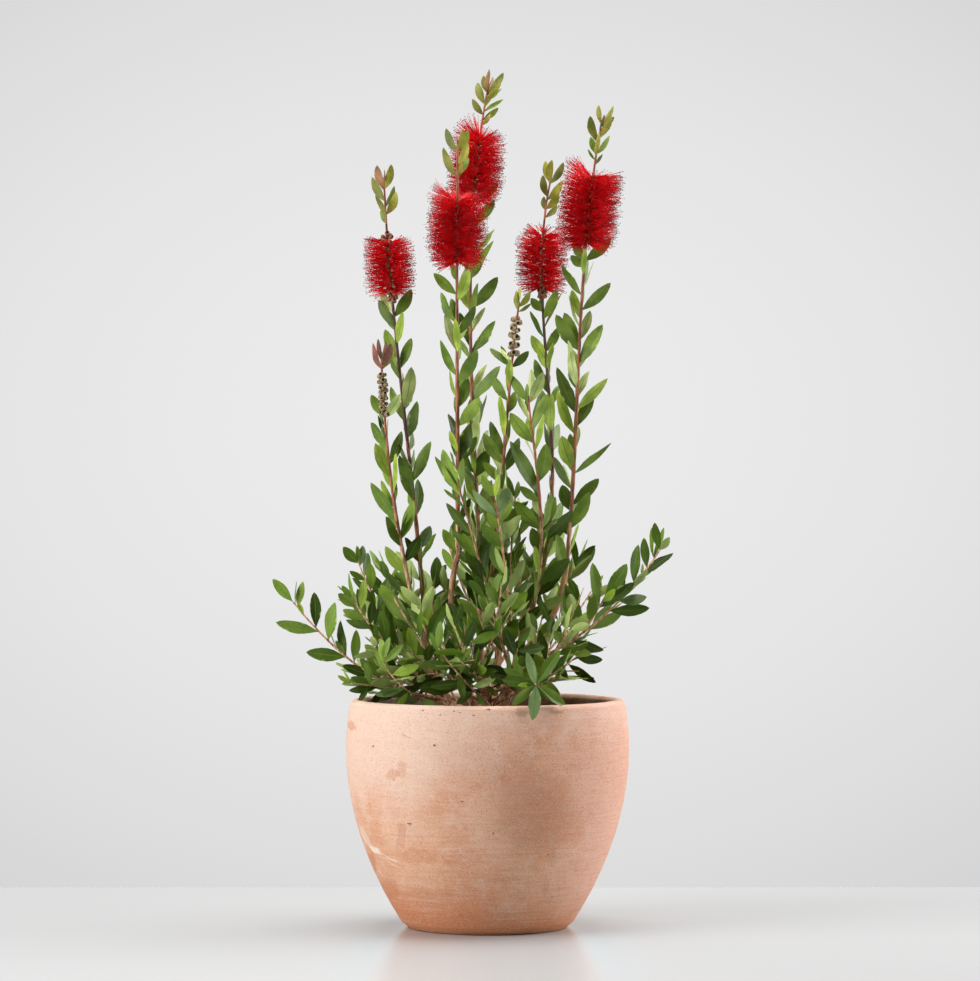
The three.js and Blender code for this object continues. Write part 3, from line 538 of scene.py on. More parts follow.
# A brush has its two ends on the shoot, its florets' number and reach, and at left and right how far
# its top leans up and how long it stays; seed cups have their two ends, radius and spacing
shoots = [  # kind, name, limb, share of it, tip, the two handles' offsets in x and y, how far both sag
    (tall, "flower_shoot_left", "limb_left", 1, (-110, 20, 792), (4, 0), (-8, 0), 0,
     {"brush": (0.73, 0.89), "florets": (42, 25), "tuft": (0.1, 0.0), "crop": (0.9, 0.7), "stem": dark,
      "oldCups": (0.722, 0.748, 0.846, 0.874)}),
    (tall, "flower_shoot_front", "limb_middle_left", 1, (-31, -55, 825), (0, 0), (-2, 0), 0,
     {"brush": (0.69, 0.9), "florets": (70, 29), "tuft": (0.6, 0.2), "crop": (1, 0.9), "stem": fair}),
    (tall, "flower_shoot_top", "limb_middle", 1, (1, 60, 895), (-8, 0), (-32, 0), 0,
     {"brush": (0.762, 0.93), "florets": (62, 28), "tuft": (0.8, 0.6), "crop": (1, 0.66), "stem": fair}),
    (tall, "flower_shoot_back", "limb_right", 1, (69, 75, 799), (57, 0), (-27, 0), 0,
     {"brush": (0.73, 0.905), "florets": (46, 25.5), "tuft": (0.5, 0.1), "crop": (0.7, 0.9), "stem": dark,
      "oldCups": (0.722, 0.745)}),
    (tall, "flower_shoot_right", "limb_far_right", 1, (120, -25, 849), (3, 0), (-16, 0), 0,
     {"brush": (0.705, 0.918), "florets": (76, 30.5), "tuft": (0.55, 0.05), "crop": (1, 0.95),
      "stem": brown}),
    (tall, "fruit_shoot_left", "limb_left", 0.72, (-111, -45, 605), (-16, -6), (-14, 0), 0,
     {"fruit": (0.79, 0.93), "stem": brown, "cup": (2.5, 6.2)}),
    (tall, "fruit_shoot_middle", "limb_middle", 0.7, (33, -70, 656), (12, -8), (-3, -6), 0,
     {"fruit": (0.83, 0.95), "stem": brown, "cup": (3.1, 8.6)}),
    (tall, "leaf_shoot_right", "limb_right", 0.84, (42, -60, 559), (34, -6), (12, -4), 0, {}),
    (medium, "leaf_shoot_middle", "limb_right", 0.64, (7, -90, 454), (0, -16), (4, -6), 0, {}),
    (medium, "leaf_shoot_middle_left", "limb_right", 0.5, (-31, -75, 469), (0, -14), (0, -6), 0, {}),
    (medium, "leaf_shoot_middle_back", "limb_right", 0.93, (29, 45, 455), (0, 8), (0, 6), 0, {}),
    (medium, "leaf_shoot_left", "limb_middle", 0.86, (-13, -18, 478), (-6, -6), (4, -8), 0, {}),
    (medium, "leaf_shoot_short_left", "limb_left", 0.86, (-56, 48, 374), (0, 12), (0, 6), 0, {}),
    (medium, "leaf_shoot_short_right", "limb_far_right", 0.7, (95, 50, 382), (0, 14), (4, 8), 0, {}),
    (medium, "leaf_shoot_back", "limb_back", 1, (24, 98, 455), (0, 6), (2, 4), 0, {}),
    (medium, "leaf_shoot_back_left", "limb_back", 0.82, (-44, 88, 410), (-10, 8), (-8, 6), 0, {}),
    (medium, "leaf_shoot_back_right", "limb_back", 0.68, (72, 96, 424), (14, 6), (6, 6), 0, {}),
    (low, "low_branch_left_far", "limb_left", 0.38, (-204, -26, 343), (0, -8), (0, 0), 33,
     {"twigs": 1, "leaves": farLeftLeaves}),
    (low, "low_branch_left_high", "limb_left", 0.6, (-138, 38, 384), (-8, 8), (-6, 4), 12, {}),
    (low, "low_branch_left_middle", "limb_left", 0.5, (-141, -62, 349), (-6, -16), (-4, -8), 12, {}),
    (low, "low_branch_left_rim", "limb_left", 0.22, (-140, 34, 268), (-4, 12), (0, 8), 0, {}),
    (low, "low_branch_left_back", "limb_left", 0.3, (-108, 112, 366), (4, 16), (0, 8), 12, {}),
    (low, "low_branch_front_left", "limb_front", 0.4, (-98, -100, 352), (-12, -8), (-4, 0), 14, {}),
    (low, "low_branch_front", "limb_front", 0.75, (-34, -138, 322), (-4, -8), (0, -4), 8, {}),
    (low, "low_branch_front_middle", "limb_front", 1, (14, -108, 362), (2, -6), (4, -4), 4, {}),
    (low, "low_branch_front_rim", "limb_front", 0.6, (50, -137, 262), (8, -6), (4, 0), -8,
     {"twigs": 0, "leaves": frontRimLeaves}),
    (low, "low_branch_front_right", "limb_right", 0.36, (84, -102, 316), (8, -14), (4, -6), 10, {}),
    (low, "low_branch_right_far", "limb_right", 0.62, (181, -28, 398), (4, -8), (8, 0), 24, {"twigs": 1}),
    (low, "low_branch_right_low", "limb_right", 0.28, (98, 50, 285), (8, 6), (4, 4), 4,
     {"leaf": 34, "twigs": 1}),
    (low, "low_branch_right_back", "limb_back", 0.42, (112, 118, 350), (16, 8), (6, 4), 12, {}),
    (low, "low_branch_back", "limb_back", 0.9, (4, 158, 350), (0, 10), (0, 4), 10, {}),
    (low, "low_branch_back_left", "limb_back", 0.55, (-62, 146, 322), (-8, 10), (-4, 4), 10, {}),
]

rimTwigs = {
    "count": 15,
    "spread": 16,
    "turnEase": 6,
    "reach": (84, 116),
    "height": (254, 284),
    "at": (0.12, 0.42),
    "arch": 7,
}

growthRule = {
    "goldenAngle": 137.5,
    "azimuthSpread": 36,
    "sideways": 1.35,  # how much leaves keep to the sides of a shoot
    "riseEase": 0.26,
    "riseSpread": 16,
    "sizeEase": 0.24,
    "sizes": (0.8, 1.1),
    "twists": (52, 104),
    "turned": 0.2,  # share of leaves that show their underside
    "lifts": (0.06, 0.3),
    "bends": (-0.1, 0.5),
    "bow": {"old": 0.028, "young": 0.065},  # how far a leaf's middle keeps off, as a share of its length
    "rootDepth": 0.6,  # where it starts, as a share of the stem's radius
    "clear": 0.004,  # bare share of a shoot below its brush or cups
    "rearFrom": 0.45,  # how far backwards a leaf on the far side points
    "placedBends": (-0.25, 0.35),
    "seenBends": (-0.2, 0.3),
    "seenFolds": (0.04, 0.26),
    "taper": 0.6,
    "twigShares": (0.26, 0.42, 0.56),
    "twigTurns": (35, 180, 25),  # the first, from twig to twig, and from shoot to shoot
    "twigSpread": (0.75, 0.6),  # how much it follows the shoot, and how much it leaves it
    "twigLength": 0.36,
    "twigEase": 1.25,
    "twigRise": 0.24,
    "twigRadius": 0.68,
    "turns": (0, 35, -35, 70, -70, 120, -120, 170),
    "leafWidth": 0.325,
    "gap": 2.8,  # least distance between sample points of two leaves
}

seenWiden = {"old": 1.08, "young": 1.25}  # makes up for their fold

# How far leaves keep off the rim, the soil, and the pot's inside and outside
potRoom = {"rim": 1.5, "soil": 3, "inside": 3, "outside": 2}

# How far they keep off a brush's axis, its lower end and its top, in millimetres
brushRoom = {"own": (16, 13, 6), "other": (22, 6, 6)}

rearLeaves = {
    "turns": (0, 12, -12, 24, -24),
    "spacing": 21,
    "spread": (-14, 14),
    "rise": (34, 58),
    "length": (34, 44),
}

youngTones = ("young", "olive", "blush", "rosy", "bud")
toneShares = {  # how often a leaf takes each tone; the low leaves take the darker ones more often, partly as painted shade
    "tall": (("deep", 0.34), ("mid", 0.4), ("fresh", 0.16), ("dark", 0.1)),
    "low": (("dark", 0.26), ("deep", 0.36), ("mid", 0.28), ("fresh", 0.1)),
}


def randomSource(seed):
    state = seed
    while True:
        state = (state * 1664525 + 1013904223) % 2**32
        yield state / 2**32


def between(low, high, share):
    return low + (high - low) * share


def pointOn(curve, share):
    left = 1 - share
    a, b, c, d = curve
    return left**3 * a + 3 * left**2 * share * b + 3 * left * share**2 * c + share**3 * d


def unit(vector):
    return vector / math.sqrt(vector.dot(vector))


def axesOn(curve, share):  # along the curve, and two axes across it, the first of them level
    a, b, c, d = curve
    left = 1 - share
    along = unit(left**2 * (b - a) + 2 * left * share * (c - b) + share**2 * (d - c))
    level = unit(np.cross(d - a, (0, 0, 1)))
    side = unit(level - along * level.dot(along))
    return along, side, np.cross(side, along)


def outward(axes, azimuth):
    turn = math.radians(azimuth)
    return axes[1] * math.cos(turn) + axes[2] * math.sin(turn)


def lengthOf(curve):
    points = np.array([pointOn(curve, k / 40) for k in range(41)])
    return np.linalg.norm(np.diff(points, axis=0), axis=1).sum()


limbCurves = {name: np.array(curve, float) for name, (curve, _) in limbs.items()}


def shootCurve(limb, at, tip, lower, upper, sag):
    foot = pointOn(limbCurves[limb], at)
    chord = np.array(tip, float) - foot
    handles = [foot + chord * k / 3 + (*offset, -sag) for k, offset in ((1, lower), (2, upper))]
    return np.array([foot, *handles, foot + chord])


def twigCurve(branch, share, turn):
    axes = axesOn(branch, share)
    start = pointOn(branch, share)
    length = lengthOf(branch) * growthRule["twigLength"] * (growthRule["twigEase"] - share)
    along, out = growthRule["twigSpread"]
    heading = unit(axes[0] * along + outward(axes, turn) * out)
    parts = np.array([0, 1 / 3, 2 / 3, 1])[:, None]
    return start + heading * length * parts + np.array([0, 0, growthRule["twigRise"] * length]) * parts**2


def thinned(radius, share):
    return radius * (1 - growthRule["taper"] * share)


def outerRadius(z):
    shape = potShape
    if z >= shape["bellyHeight"]:
        return shape["bellyRadius"] - shape["shoulderCurve"] * (z - shape["bellyHeight"]) ** 2
    rise = math.sin(math.pi / 2 * (z / shape["bellyHeight"]) ** shape["footPower"])
    return between(shape["footRadius"], shape["bellyRadius"], rise)


def innerRadius(z):
    return outerRadius(z) - potShape["wall"]


def clearsPot(points):
    rimHeight, soil = potShape["rimHeight"], potShape["soil"]
    for x, y, z in points:
        reach = math.hypot(x, y)
        above = z > rimHeight + potRoom["rim"]
        inside = z > soil + potRoom["soil"] and reach < innerRadius(min(z, rimHeight)) - potRoom["inside"]
        outside = reach > outerRadius(min(max(z, 0), rimHeight)) + potRoom["outside"]
        if not (above or inside or outside):
            return False
    return True


class Room:  # sample points of what has grown, in cells as wide as the gap between leaves
    def __init__(self, cell):
        self.cell, self.cells = cell, {}

    def cellOf(self, point):
        return tuple(int(math.floor(part / self.cell)) for part in point)

    def fill(self, points, owner):
        for point in points:
            self.cells.setdefault(self.cellOf(point), []).append((*point, owner))

    def isFree(self, points, owners):
        near, least = (-1, 0, 1), self.cell**2
        for point in points:
            px, py, pz = point
            i, j, k = self.cellOf(point)
            for cell in ((i + a, j + b, k + c) for a in near for b in near for c in near):
                for x, y, z, keeper in self.cells.get(cell, ()):
                    if keeper not in owners and (x - px) ** 2 + (y - py) ** 2 + (z - pz) ** 2 < least:
                        return False
        return True


def insideBrush(points, owner):
    for keeper, curve, (start, end) in brushes:
        foot, top = pointOn(curve, start), pointOn(curve, end)
        along = unit(top - foot)
        height = (points - foot) @ along
        aside = np.linalg.norm(points - foot - height[:, None] * along, axis=1)
        reach, below, above = brushRoom["own" if keeper == owner else "other"]
        if ((aside < reach) & (height > below) & (height < np.linalg.norm(top - foot) - above)).any():
            return True
    return False


# Sample places on a leaf: share of its length, and of its half width
leafSamples = np.array(
    [(u, 0) for u in (0.22, 0.36, 0.5, 0.64, 0.78, 0.94)]
    + [(u, v) for u in (0.38, 0.52, 0.66, 0.8) for v in (-0.75, 0.75)]
)


def growLeaf(shoot, place, turn):
    rule = growthRule
    curve = shoot["curve"]
    axes = axesOn(curve, place["share"])
    out = outward(axes, place["azimuth"] + turn) * (rule["sideways"], 1, 1)
    out = unit(out - axes[0] * out.dot(axes[0]))
    rise = math.radians(place["rise"])
    heading = unit(axes[0] * math.cos(rise) + out * math.sin(rise) + np.array([0, 0, place["lift"]]))
    inner = unit(axes[0] - heading * axes[0].dot(heading))
    facing = np.cross(heading, inner)
    front = -1 if out[1] < rule["rearFrom"] else 1
    if facing[1] * front * place["side"] < 0:
        facing = -facing
    twist = math.radians(place["twist"])
    face = inner * math.cos(twist) + facing * math.sin(twist)
    across = np.cross(face, heading)
    depth = thinned(shoot["radius"], place["share"]) * rule["rootDepth"]
    root = pointOn(curve, place["share"]) + out * depth
    leaf = {**place, "root": root, "heading": heading, "face": face, "across": across}
    leaf["samples"] = samplesOf(leaf)
    return leaf


def setLeaf(shoot, root, heading, roll, rest):  # a leaf that faces the front view, but for its roll
    front = unit(np.array([0, -1, 0]) + heading * heading[1])
    face = front * math.cos(roll) + np.cross(front, heading) * math.sin(roll)
    leaf = {"root": root, "heading": heading, "face": face, "across": np.cross(face, heading), **rest}
    leaf["samples"] = samplesOf(leaf)
    room.fill(leaf["samples"], shoot["id"] + " leaf")
    return leaf


def placeLeaf(shoot, place, draw):
    share, angle, length, chosen, depth, roll = place
    turn = math.radians(angle)
    heading = unit(np.array([math.cos(turn), depth, math.sin(turn)]))
    root = pointOn(shoot["curve"], share)
    root = root + heading * growthRule["rootDepth"] * thinned(shoot["radius"], share)
    rest = {"share": share, "length": length, "azimuth": angle, "tone": chosen}
    rest["bend"] = between(*growthRule["placedBends"], next(draw))
    return setLeaf(shoot, root, heading, math.radians(roll), rest)


def seenFromFront(points):  # where the front view shows them, in the plane of the pot's axis
    return eye + (points - eye) * (1, 0, 1) / (1 + points[..., 1:2] / eyeDistance)


def shareSeenAt(curve, height):
    shares = np.linspace(0, 1, 300)
    seen = seenFromFront(np.array([pointOn(curve, share) for share in shares]))
    return shares[np.abs(seen[:, 2] - height).argmin()]


def seenLeaf(shoot, place, draw):
    height, across, up, width, chosen, depth = place
    share = shareSeenAt(shoot["curve"], height)
    root = pointOn(shoot["curve"], share)
    tip = eye + (np.array([across, 0, up]) - eye) * (1 + root[1] / eyeDistance)
    flat = (tip - root) * (1, 0, 1)
    span = math.sqrt(flat.dot(flat))
    heading = unit(flat + np.array([0, depth * span, 0]))
    age = "young" if chosen in youngTones else "old"
    wide = width * seenWiden[age] / (span * growthRule["leafWidth"])
    roll = math.acos(min(1, wide)) * (1 if next(draw) < 0.5 else -1)
    length = span * math.sqrt(1 + depth**2)
    rest = {"share": share, "length": length, "azimuth": up, "tone": chosen}
    rest["bend"] = between(*growthRule["seenBends"], next(draw)) * min(1, wide)
    rest["fold"] = between(*growthRule["seenFolds"], next(draw))
    rest["fullness"] = max(1, wide) * span / length
    leaf = setLeaf(shoot, root, heading, roll, rest)
    towards = leaf["across"].dot(axesOn(shoot["curve"], share)[0])
    leaf["bow"] = -math.copysign(growthRule["bow"][age], towards)
    return leaf


def inOpenGap(points):
    seen = seenFromFront(points)
    x, z = seen[:, 0], seen[:, 2]
    for left, right, foot, top in openGaps:
        if ((x > left) & (x < right) & (z > foot) & (z < top)).any():
            return True
    return False


def samplesOf(leaf):
    width = leaf["length"] * growthRule["leafWidth"] / 2
    u, v = leafSamples[:, :1], leafSamples[:, 1:]
    sway = leaf["bend"] * leaf["length"] / 2 * u**2
    middle = leaf["root"] + leaf["heading"] * leaf["length"] * u
    return middle + leaf["across"] * width * v + leaf["face"] * sway


def dealt(shares, pick):
    for name, share in shares:
        if pick < share:
            return name
        pick -= share
    return shares[-1][0]


def leafPlaces(shoot, start, end, draw):
    rule = growthRule
    count = max(1, round(lengthOf(shoot["curve"]) * (end - start) / shoot["spacing"]))
    for k in range(count):
        t = (k + 1) / count
        chosen = dealt(toneShares[shoot["tones"]], next(draw))
        size = 1 - rule["sizeEase"] * t**2
        yield {
            "share": between(start, end, t),
            "azimuth": rule["goldenAngle"] * k + rule["azimuthSpread"] * next(draw),
            "rise": shoot["rise"] * (1 - rule["riseEase"] * t) + rule["riseSpread"] * (next(draw) - 0.5),
            "length": shoot["leaf"] * size * between(*rule["sizes"], next(draw)),
            "twist": between(*rule["twists"], next(draw)),
            "side": -1 if next(draw) < rule["turned"] else 1,
            "lift": between(*rule["lifts"], next(draw)),
            "bend": between(*rule["bends"], next(draw)),
            "tone": chosen,
        }


def rearPlaces(shoot, start, end, draw):  # leaves that point straight back, which the front view hides
    count = int(lengthOf(shoot["curve"]) * (end - start) / rearLeaves["spacing"])
    for k in range(count):
        share = between(start, end, (k + 0.5) / count)
        axes = axesOn(shoot["curve"], share)
        back = math.degrees(math.atan2(axes[2][1], axes[1][1]))
        yield {
            "share": share,
            "azimuth": back + between(*rearLeaves["spread"], next(draw)),
            "rise": between(*rearLeaves["rise"], next(draw)),
            "length": between(*rearLeaves["length"], next(draw)),
            "twist": between(*growthRule["twists"], next(draw)),
            "side": -1,
            "turns": rearLeaves["turns"],
            "lift": 0,
            "bend": between(*growthRule["bends"], next(draw)),
            "tone": dealt(toneShares["tall"], next(draw)),
        }


def growTwigs(main, number):
    grown = []
    first, apart, shift = growthRule["twigTurns"]
    for k, share in enumerate(growthRule["twigShares"][: main.get("twigs", 0)]):
        for turn in growthRule["turns"]:
            curve = twigCurve(main["curve"], share, first + apart * k + shift * (number % 3) + turn)
            points = np.array([pointOn(curve, s) for s in np.linspace(0.15, 1, 12)])
            if clearsPot(points) and room.isFree(points, (main["id"],)):
                radius = growthRule["twigRadius"] * thinned(main["radius"], share)
                made = {**twig, "curve": curve, "radius": radius, "id": f"{main['id']} twig {k}"}
                room.fill(points[2:], made["id"])
                grown.append(made)
                break
    return grown


def growLeaves(shoot, draw, byHand):
    seen = seenLeaves.get(shoot["id"], ())
    if byHand:
        grown = [placeLeaf(shoot, place, draw) for place in shoot.get("leaves", ())]
        return grown + [seenLeaf(shoot, place, draw) for place in seen]
    if "leaves" in shoot:
        return []
    taken = shoot.get("brush") or shoot.get("fruit")
    end = taken[0] - growthRule["clear"] if taken else 1
    if seen:
        start = shareSeenAt(shoot["curve"], min(place[0] for place in seen))
        places = [*leafPlaces(shoot, shoot["bare"], start, draw), *rearPlaces(shoot, start, end, draw)]
    else:
        places = list(leafPlaces(shoot, shoot["bare"], end, draw))
    grown = []
    for place in places:
        for turn in place.get("turns", growthRule["turns"]):
            leaf = growLeaf(shoot, place, turn)
            samples = leaf["samples"]
            crowded = insideBrush(samples, shoot["id"]) or inOpenGap(samples)
            if clearsPot(samples) and not crowded and room.isFree(samples, (shoot["id"],)):
                room.fill(samples, shoot["id"] + " leaf")
                grown.append(leaf)
                break
    return grown


def growRimTwigs():
    grown = []
    draw = randomSource(303)
    rule = rimTwigs
    arch = np.array([0, 0, rule["arch"]])
    for k in range(rule["count"]):
        for turn in growthRule["turns"]:
            degrees = 360 * k / rule["count"] + rule["spread"] * next(draw) + turn / rule["turnEase"]
            azimuth = math.radians(degrees)
            reach, height = between(*rule["reach"], next(draw)), between(*rule["height"], next(draw))
            tip = np.array([reach * math.cos(azimuth), reach * math.sin(azimuth), height])
            at = between(*rule["at"], next(draw))
            feet = [pointOn(limbCurves[name], at) for name in limbs if name != "limb_far_right"]
            foot = min(feet, key=lambda point: np.linalg.norm(point[:2] - tip[:2]))
            chord = tip - foot
            curve = np.array([foot, foot + chord / 3 + arch, foot + chord * 2 / 3 + arch, tip])
            points = np.array([pointOn(curve, s) for s in np.linspace(0.2, 1, 16)])
            if clearsPot(points) and room.isFree(points, ()):
                made = {**rim, "curve": curve, "id": f"rim twig {k}"}
                room.fill(points, made["id"])
                grown.append(made)
                break
    return grown


room = Room(growthRule["gap"])
mains = []
for kind, name, limb, at, tip, lower, upper, sag, extra in shoots:
    curve = shootCurve(limb, at, tip, lower, upper, sag)
    mains.append({**kind, **extra, "curve": curve, "id": name})
    room.fill([pointOn(curve, s) for s in np.linspace(0, 1, int(lengthOf(curve) / 3))], name)
for name, curve in limbCurves.items():
    room.fill([pointOn(curve, s) for s in np.linspace(0, 1, 40)], name)
brushes = [(main["id"], main["curve"], main["brush"]) for main in mains if "brush" in main]

sprays = []  # each main shoot with its twigs, and the leaves of all
for number, main in enumerate(mains):
    sprays.append({"main": main, "twigs": growTwigs(main, number)})
placed = []
for number, sprig in enumerate(sprigs):
    curve = np.array(sprig["curve"], float)
    placed.append({**rim, **sprig, "curve": curve, "id": f"sprig {number}"})
    room.fill([pointOn(curve, s) for s in np.linspace(0.2, 1, 30)], f"sprig {number}")
sprays.append({"main": None, "twigs": placed + growRimTwigs()})
draws = [randomSource(11 + 37 * number) for number in range(len(sprays))]
for byHand in (True, False):
    for spray, draw in zip(sprays, draws):
        members = [shoot for shoot in (spray["main"], *spray["twigs"]) if shoot]
        grown = [leaf for shoot in members for leaf in growLeaves(shoot, draw, byHand)]
        spray.setdefault("leaves", []).extend(grown)
leafCount, twigCount = (sum(len(spray[part]) for spray in sprays) for part in ("leaves", "twigs"))
print("grown:", leafCount, "leaves on", twigCount, "twigs")

# Joined meshes


def select(piece):
    bpy.ops.object.select_all(action="DESELECT")
    piece.select_set(True)
    bpy.context.view_layer.objects.active = piece


def keep(piece, slot, *nodes):
    if nodes:
        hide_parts(*nodes)
    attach(piece, "root")


class Batch:  # many small shapes, gathered into one mesh
    def __init__(self):
        self.points, self.corners, self.sizes, self.slots, self.count = [], [], [], [], 0

    def add(self, points, faces, slots):  # points: copies, corners of each and x, y, z
        copies, corners = points.shape[:2]
        flat = np.concatenate([np.array(face) for face in faces])
        offsets = self.count + np.arange(copies)[:, None] * corners
        self.points.append(points.reshape(-1, 3))
        self.corners.append((flat[None, :] + offsets).ravel())
        self.sizes.append(np.tile([len(face) for face in faces], copies))
        self.slots.append(np.broadcast_to(slots, (copies, len(faces))).ravel())
        self.count += copies * corners

    def build(self, name, materials, smooth=None):
        mesh = bpy.data.meshes.new(name)
        points = np.concatenate(self.points) * mm
        corners, sizes = np.concatenate(self.corners), np.concatenate(self.sizes)
        mesh.vertices.add(len(points))
        mesh.vertices.foreach_set("co", points.ravel())
        mesh.loops.add(len(corners))
        mesh.loops.foreach_set("vertex_index", corners.astype(np.int32))
        mesh.polygons.add(len(sizes))
        mesh.polygons.foreach_set("loop_start", (np.cumsum(sizes) - sizes).astype(np.int32))
        mesh.polygons.foreach_set("material_index", np.concatenate(self.slots).astype(np.int32))
        mesh.update(calc_edges=True)
        mesh.validate()
        for material in materials:
            mesh.materials.append(material)
        piece = bpy.data.objects.new(name, mesh)
        bpy.context.scene.collection.objects.link(piece)
        select(piece)
        if smooth is not None:
            bpy.ops.object.shade_smooth_by_angle(angle=math.radians(smooth))
        print(name, "has", int((sizes - 2).sum()), "triangles")
        return piece


def ringFaces(rings, sides):
    faces = []
    for r in range(rings - 1):
        for s in range(sides):
            t = (s + 1) % sides
            faces.append((r * sides + s, r * sides + t, (r + 1) * sides + t, (r + 1) * sides + s))
    faces.append(tuple(reversed(range(sides))))
    faces.append(tuple((rings - 1) * sides + s for s in range(sides)))
    return faces


def rodPoints(curve, shares, radii, sides):
    rings = []
    angles = np.arange(sides) * 2 * math.pi / sides
    for share, radius in zip(shares, radii):
        along, side, front = axesOn(curve, share)
        circle = np.cos(angles)[:, None] * side - np.sin(angles)[:, None] * front
        rings.append(pointOn(curve, share) + circle * np.reshape(radius, (-1, 1)))
    return np.concatenate(rings)


# Leaves

# Dark, deep, mid and fresh are one green at four levels: partly the leaves' own tones, partly painted shade
# and light
leafTones = {
    "dark": (63, 87, 20),
    "deep": (83, 112, 28),
    "mid": (108, 137, 42),
    "fresh": (136, 163, 52),
    "young": (146, 150, 52),
    "olive": (106, 114, 40),
    "blush": (152, 118, 76),
    "rosy": (115, 74, 52),
    "bud": (96, 66, 50),
    "under": (154, 173, 98),
    # A grey green as leaf undersides show it in shade: painted shade
    "dusty": (114, 138, 86),
}

leafShape = {
    "rows": (0, 0.05, 0.16, 0.31, 0.47, 0.63, 0.79, 0.92, 1),  # shares of the length
    "columns": 5,
    "powers": (1.0, 0.64),  # of the outline at root and tip
    "widest": 1.08,  # moves the widest place towards the tip
    "stalk": 0.1,  # width at the root, as a share of the widest
    "rib": 0.05,
    "thickness": 0.5,
    "folds": (0.04, 0.4),
    "fullness": (0.84, 1.14),
    "swing": (-0.45, 0.45),
    "wave": (-0.5, 0.5),
}


leafPaint = {
    "patch": 0.02,  # sizes in metres
    "speckle": 0.0011,
    "high": (0.36, 0.56),  # between these heights a light patch turns sunlit
    "shades": (0.84, 1.2, 0.6),  # of a dim patch, a light one and a speckle
    "sunlit": (1.22, (18, 9, 20)),
}


def leafMaterial(name, colour):
    paint = Paint("leaf" + name.title(), {"Roughness": 0.48, "Specular IOR Level": 0.25})
    patches = paint.step(paint.cloud(leafPaint["patch"], 2), 0.3, 0.7)
    speckle = paint.step(paint.cloud(leafPaint["speckle"], 1), 0.35, 0.65)
    high = paint.step(paint.axes(paint.spot)[2], *leafPaint["high"])
    dim, light, speck = (shaded(tone(*colour), factor) for factor in leafPaint["shades"])
    factor, more = leafPaint["sunlit"]
    sunlit = tone(*(level * factor + extra for level, extra in zip(colour, more)))
    base = paint.mix(patches, dim, paint.mix(high, light, sunlit))
    paint.finish("Base Color", paint.mix(speckle * 0.25, base, speck))
    paint.relief(speckle, 0.12, 0.0003)
    return paint.material


def ribMaterial():
    paint = Paint("leafRib", {"Roughness": 0.5, "Specular IOR Level": 0.3})
    fade = paint.step(paint.cloud(0.03, 1), 0.4, 0.6)
    paint.finish("Base Color", paint.mix(fade, tone(92, 114, 44), tone(118, 136, 60)))
    return paint.material


def leafWidth(u):
    place = u ** leafShape["widest"]
    power = between(*leafShape["powers"], place)
    return max(max(0.0, math.sin(math.pi * place)) ** power, leafShape["stalk"] * (1 - u))


def modelLeaf():  # a flat leaf, 1 long and 1 wide
    rows, columns = leafShape["rows"], leafShape["columns"]
    bpy.ops.mesh.primitive_grid_add(x_subdivisions=len(rows) - 1, y_subdivisions=columns, size=1)
    leaf = bpy.context.object
    leaf.name = "leafBlank"
    for vertex in leaf.data.vertices:
        u = rows[round((vertex.co.x + 0.5) * (len(rows) - 1))]
        v = vertex.co.y
        if abs(v) < 1 / columns:
            v = math.copysign(leafShape["rib"] / 2, v)
        vertex.co.x, vertex.co.y = u, v * leafWidth(u)
    bpy.ops.object.mode_set(mode="EDIT")
    bpy.ops.mesh.select_all(action="SELECT")
    bpy.ops.mesh.remove_doubles(threshold=1e-5)
    bpy.ops.object.mode_set(mode="OBJECT")
    return leaf


def leafArrays():  # points and faces of the closed leaf, and which of the upper faces are the rib
    leaf = modelLeaf()
    top = np.array([vertex.co[:] for vertex in leaf.data.vertices])
    faces = [tuple(face.vertices) for face in leaf.data.polygons]
    bpy.data.objects.remove(leaf)
    onRim = np.array([abs(y) >= 0.4999 * leafWidth(x) or x < 1e-6 or x > 1 - 1e-6 for x, y, _ in top])
    top[~onRim, 2] = 0.5
    inner = np.flatnonzero(~onRim)
    twin = np.arange(len(top))
    twin[inner] = len(top) + np.arange(len(inner))
    lower = [tuple(int(twin[corner]) for corner in reversed(face)) for face in faces]
    middle = [abs(top[list(face), 1].mean()) < 0.01 for face in faces]
    return np.concatenate([top, top[inner] * (1, 1, -1)]), faces + lower, middle


def bentLeaves(points, leaves):
    def column(key):
        return np.array([leaf[key] for leaf in leaves], float)[:, None]

    u, v, h = (points[None, :, k] for k in range(3))
    length, bend = column("length"), column("bend")
    width = length * growthRule["leafWidth"] * column("fullness")
    ahead = length * (u - bend**2 * u**3 / 6)
    sideways = width * v
    lifted = length * bend * u**2 / 2 + np.abs(sideways) * column("fold") + h * leafShape["thickness"]
    lifted = lifted + width * column("wave") * np.sin(7 * u + 9 * column("azimuth")) * v**2
    swing = column("swing") * u
    bowed = sideways + length * column("bow") * 4 * u * (1 - u)
    y = bowed * np.cos(swing) - lifted * np.sin(swing)
    z = bowed * np.sin(swing) + lifted * np.cos(swing)
    middle = column("root") + column("heading") * ahead[..., None]
    return middle + column("across") * y[..., None] + column("face") * z[..., None]


def leafSlotsOf(leaves, faces, middle):
    order = list(leafTones)
    half = len(faces) // 2
    slots = np.zeros((len(leaves), len(faces)), int)
    ribs = [face for face in range(half) if middle[face]]
    for k, leaf in enumerate(leaves):
        fresh = leaf["tone"] in youngTones
        slots[k, :half] = order.index(leaf["tone"])
        slots[k, half:] = order.index(leaf["tone"] if fresh else "under")
        if not fresh:
            slots[k, ribs] = len(order)
    return slots


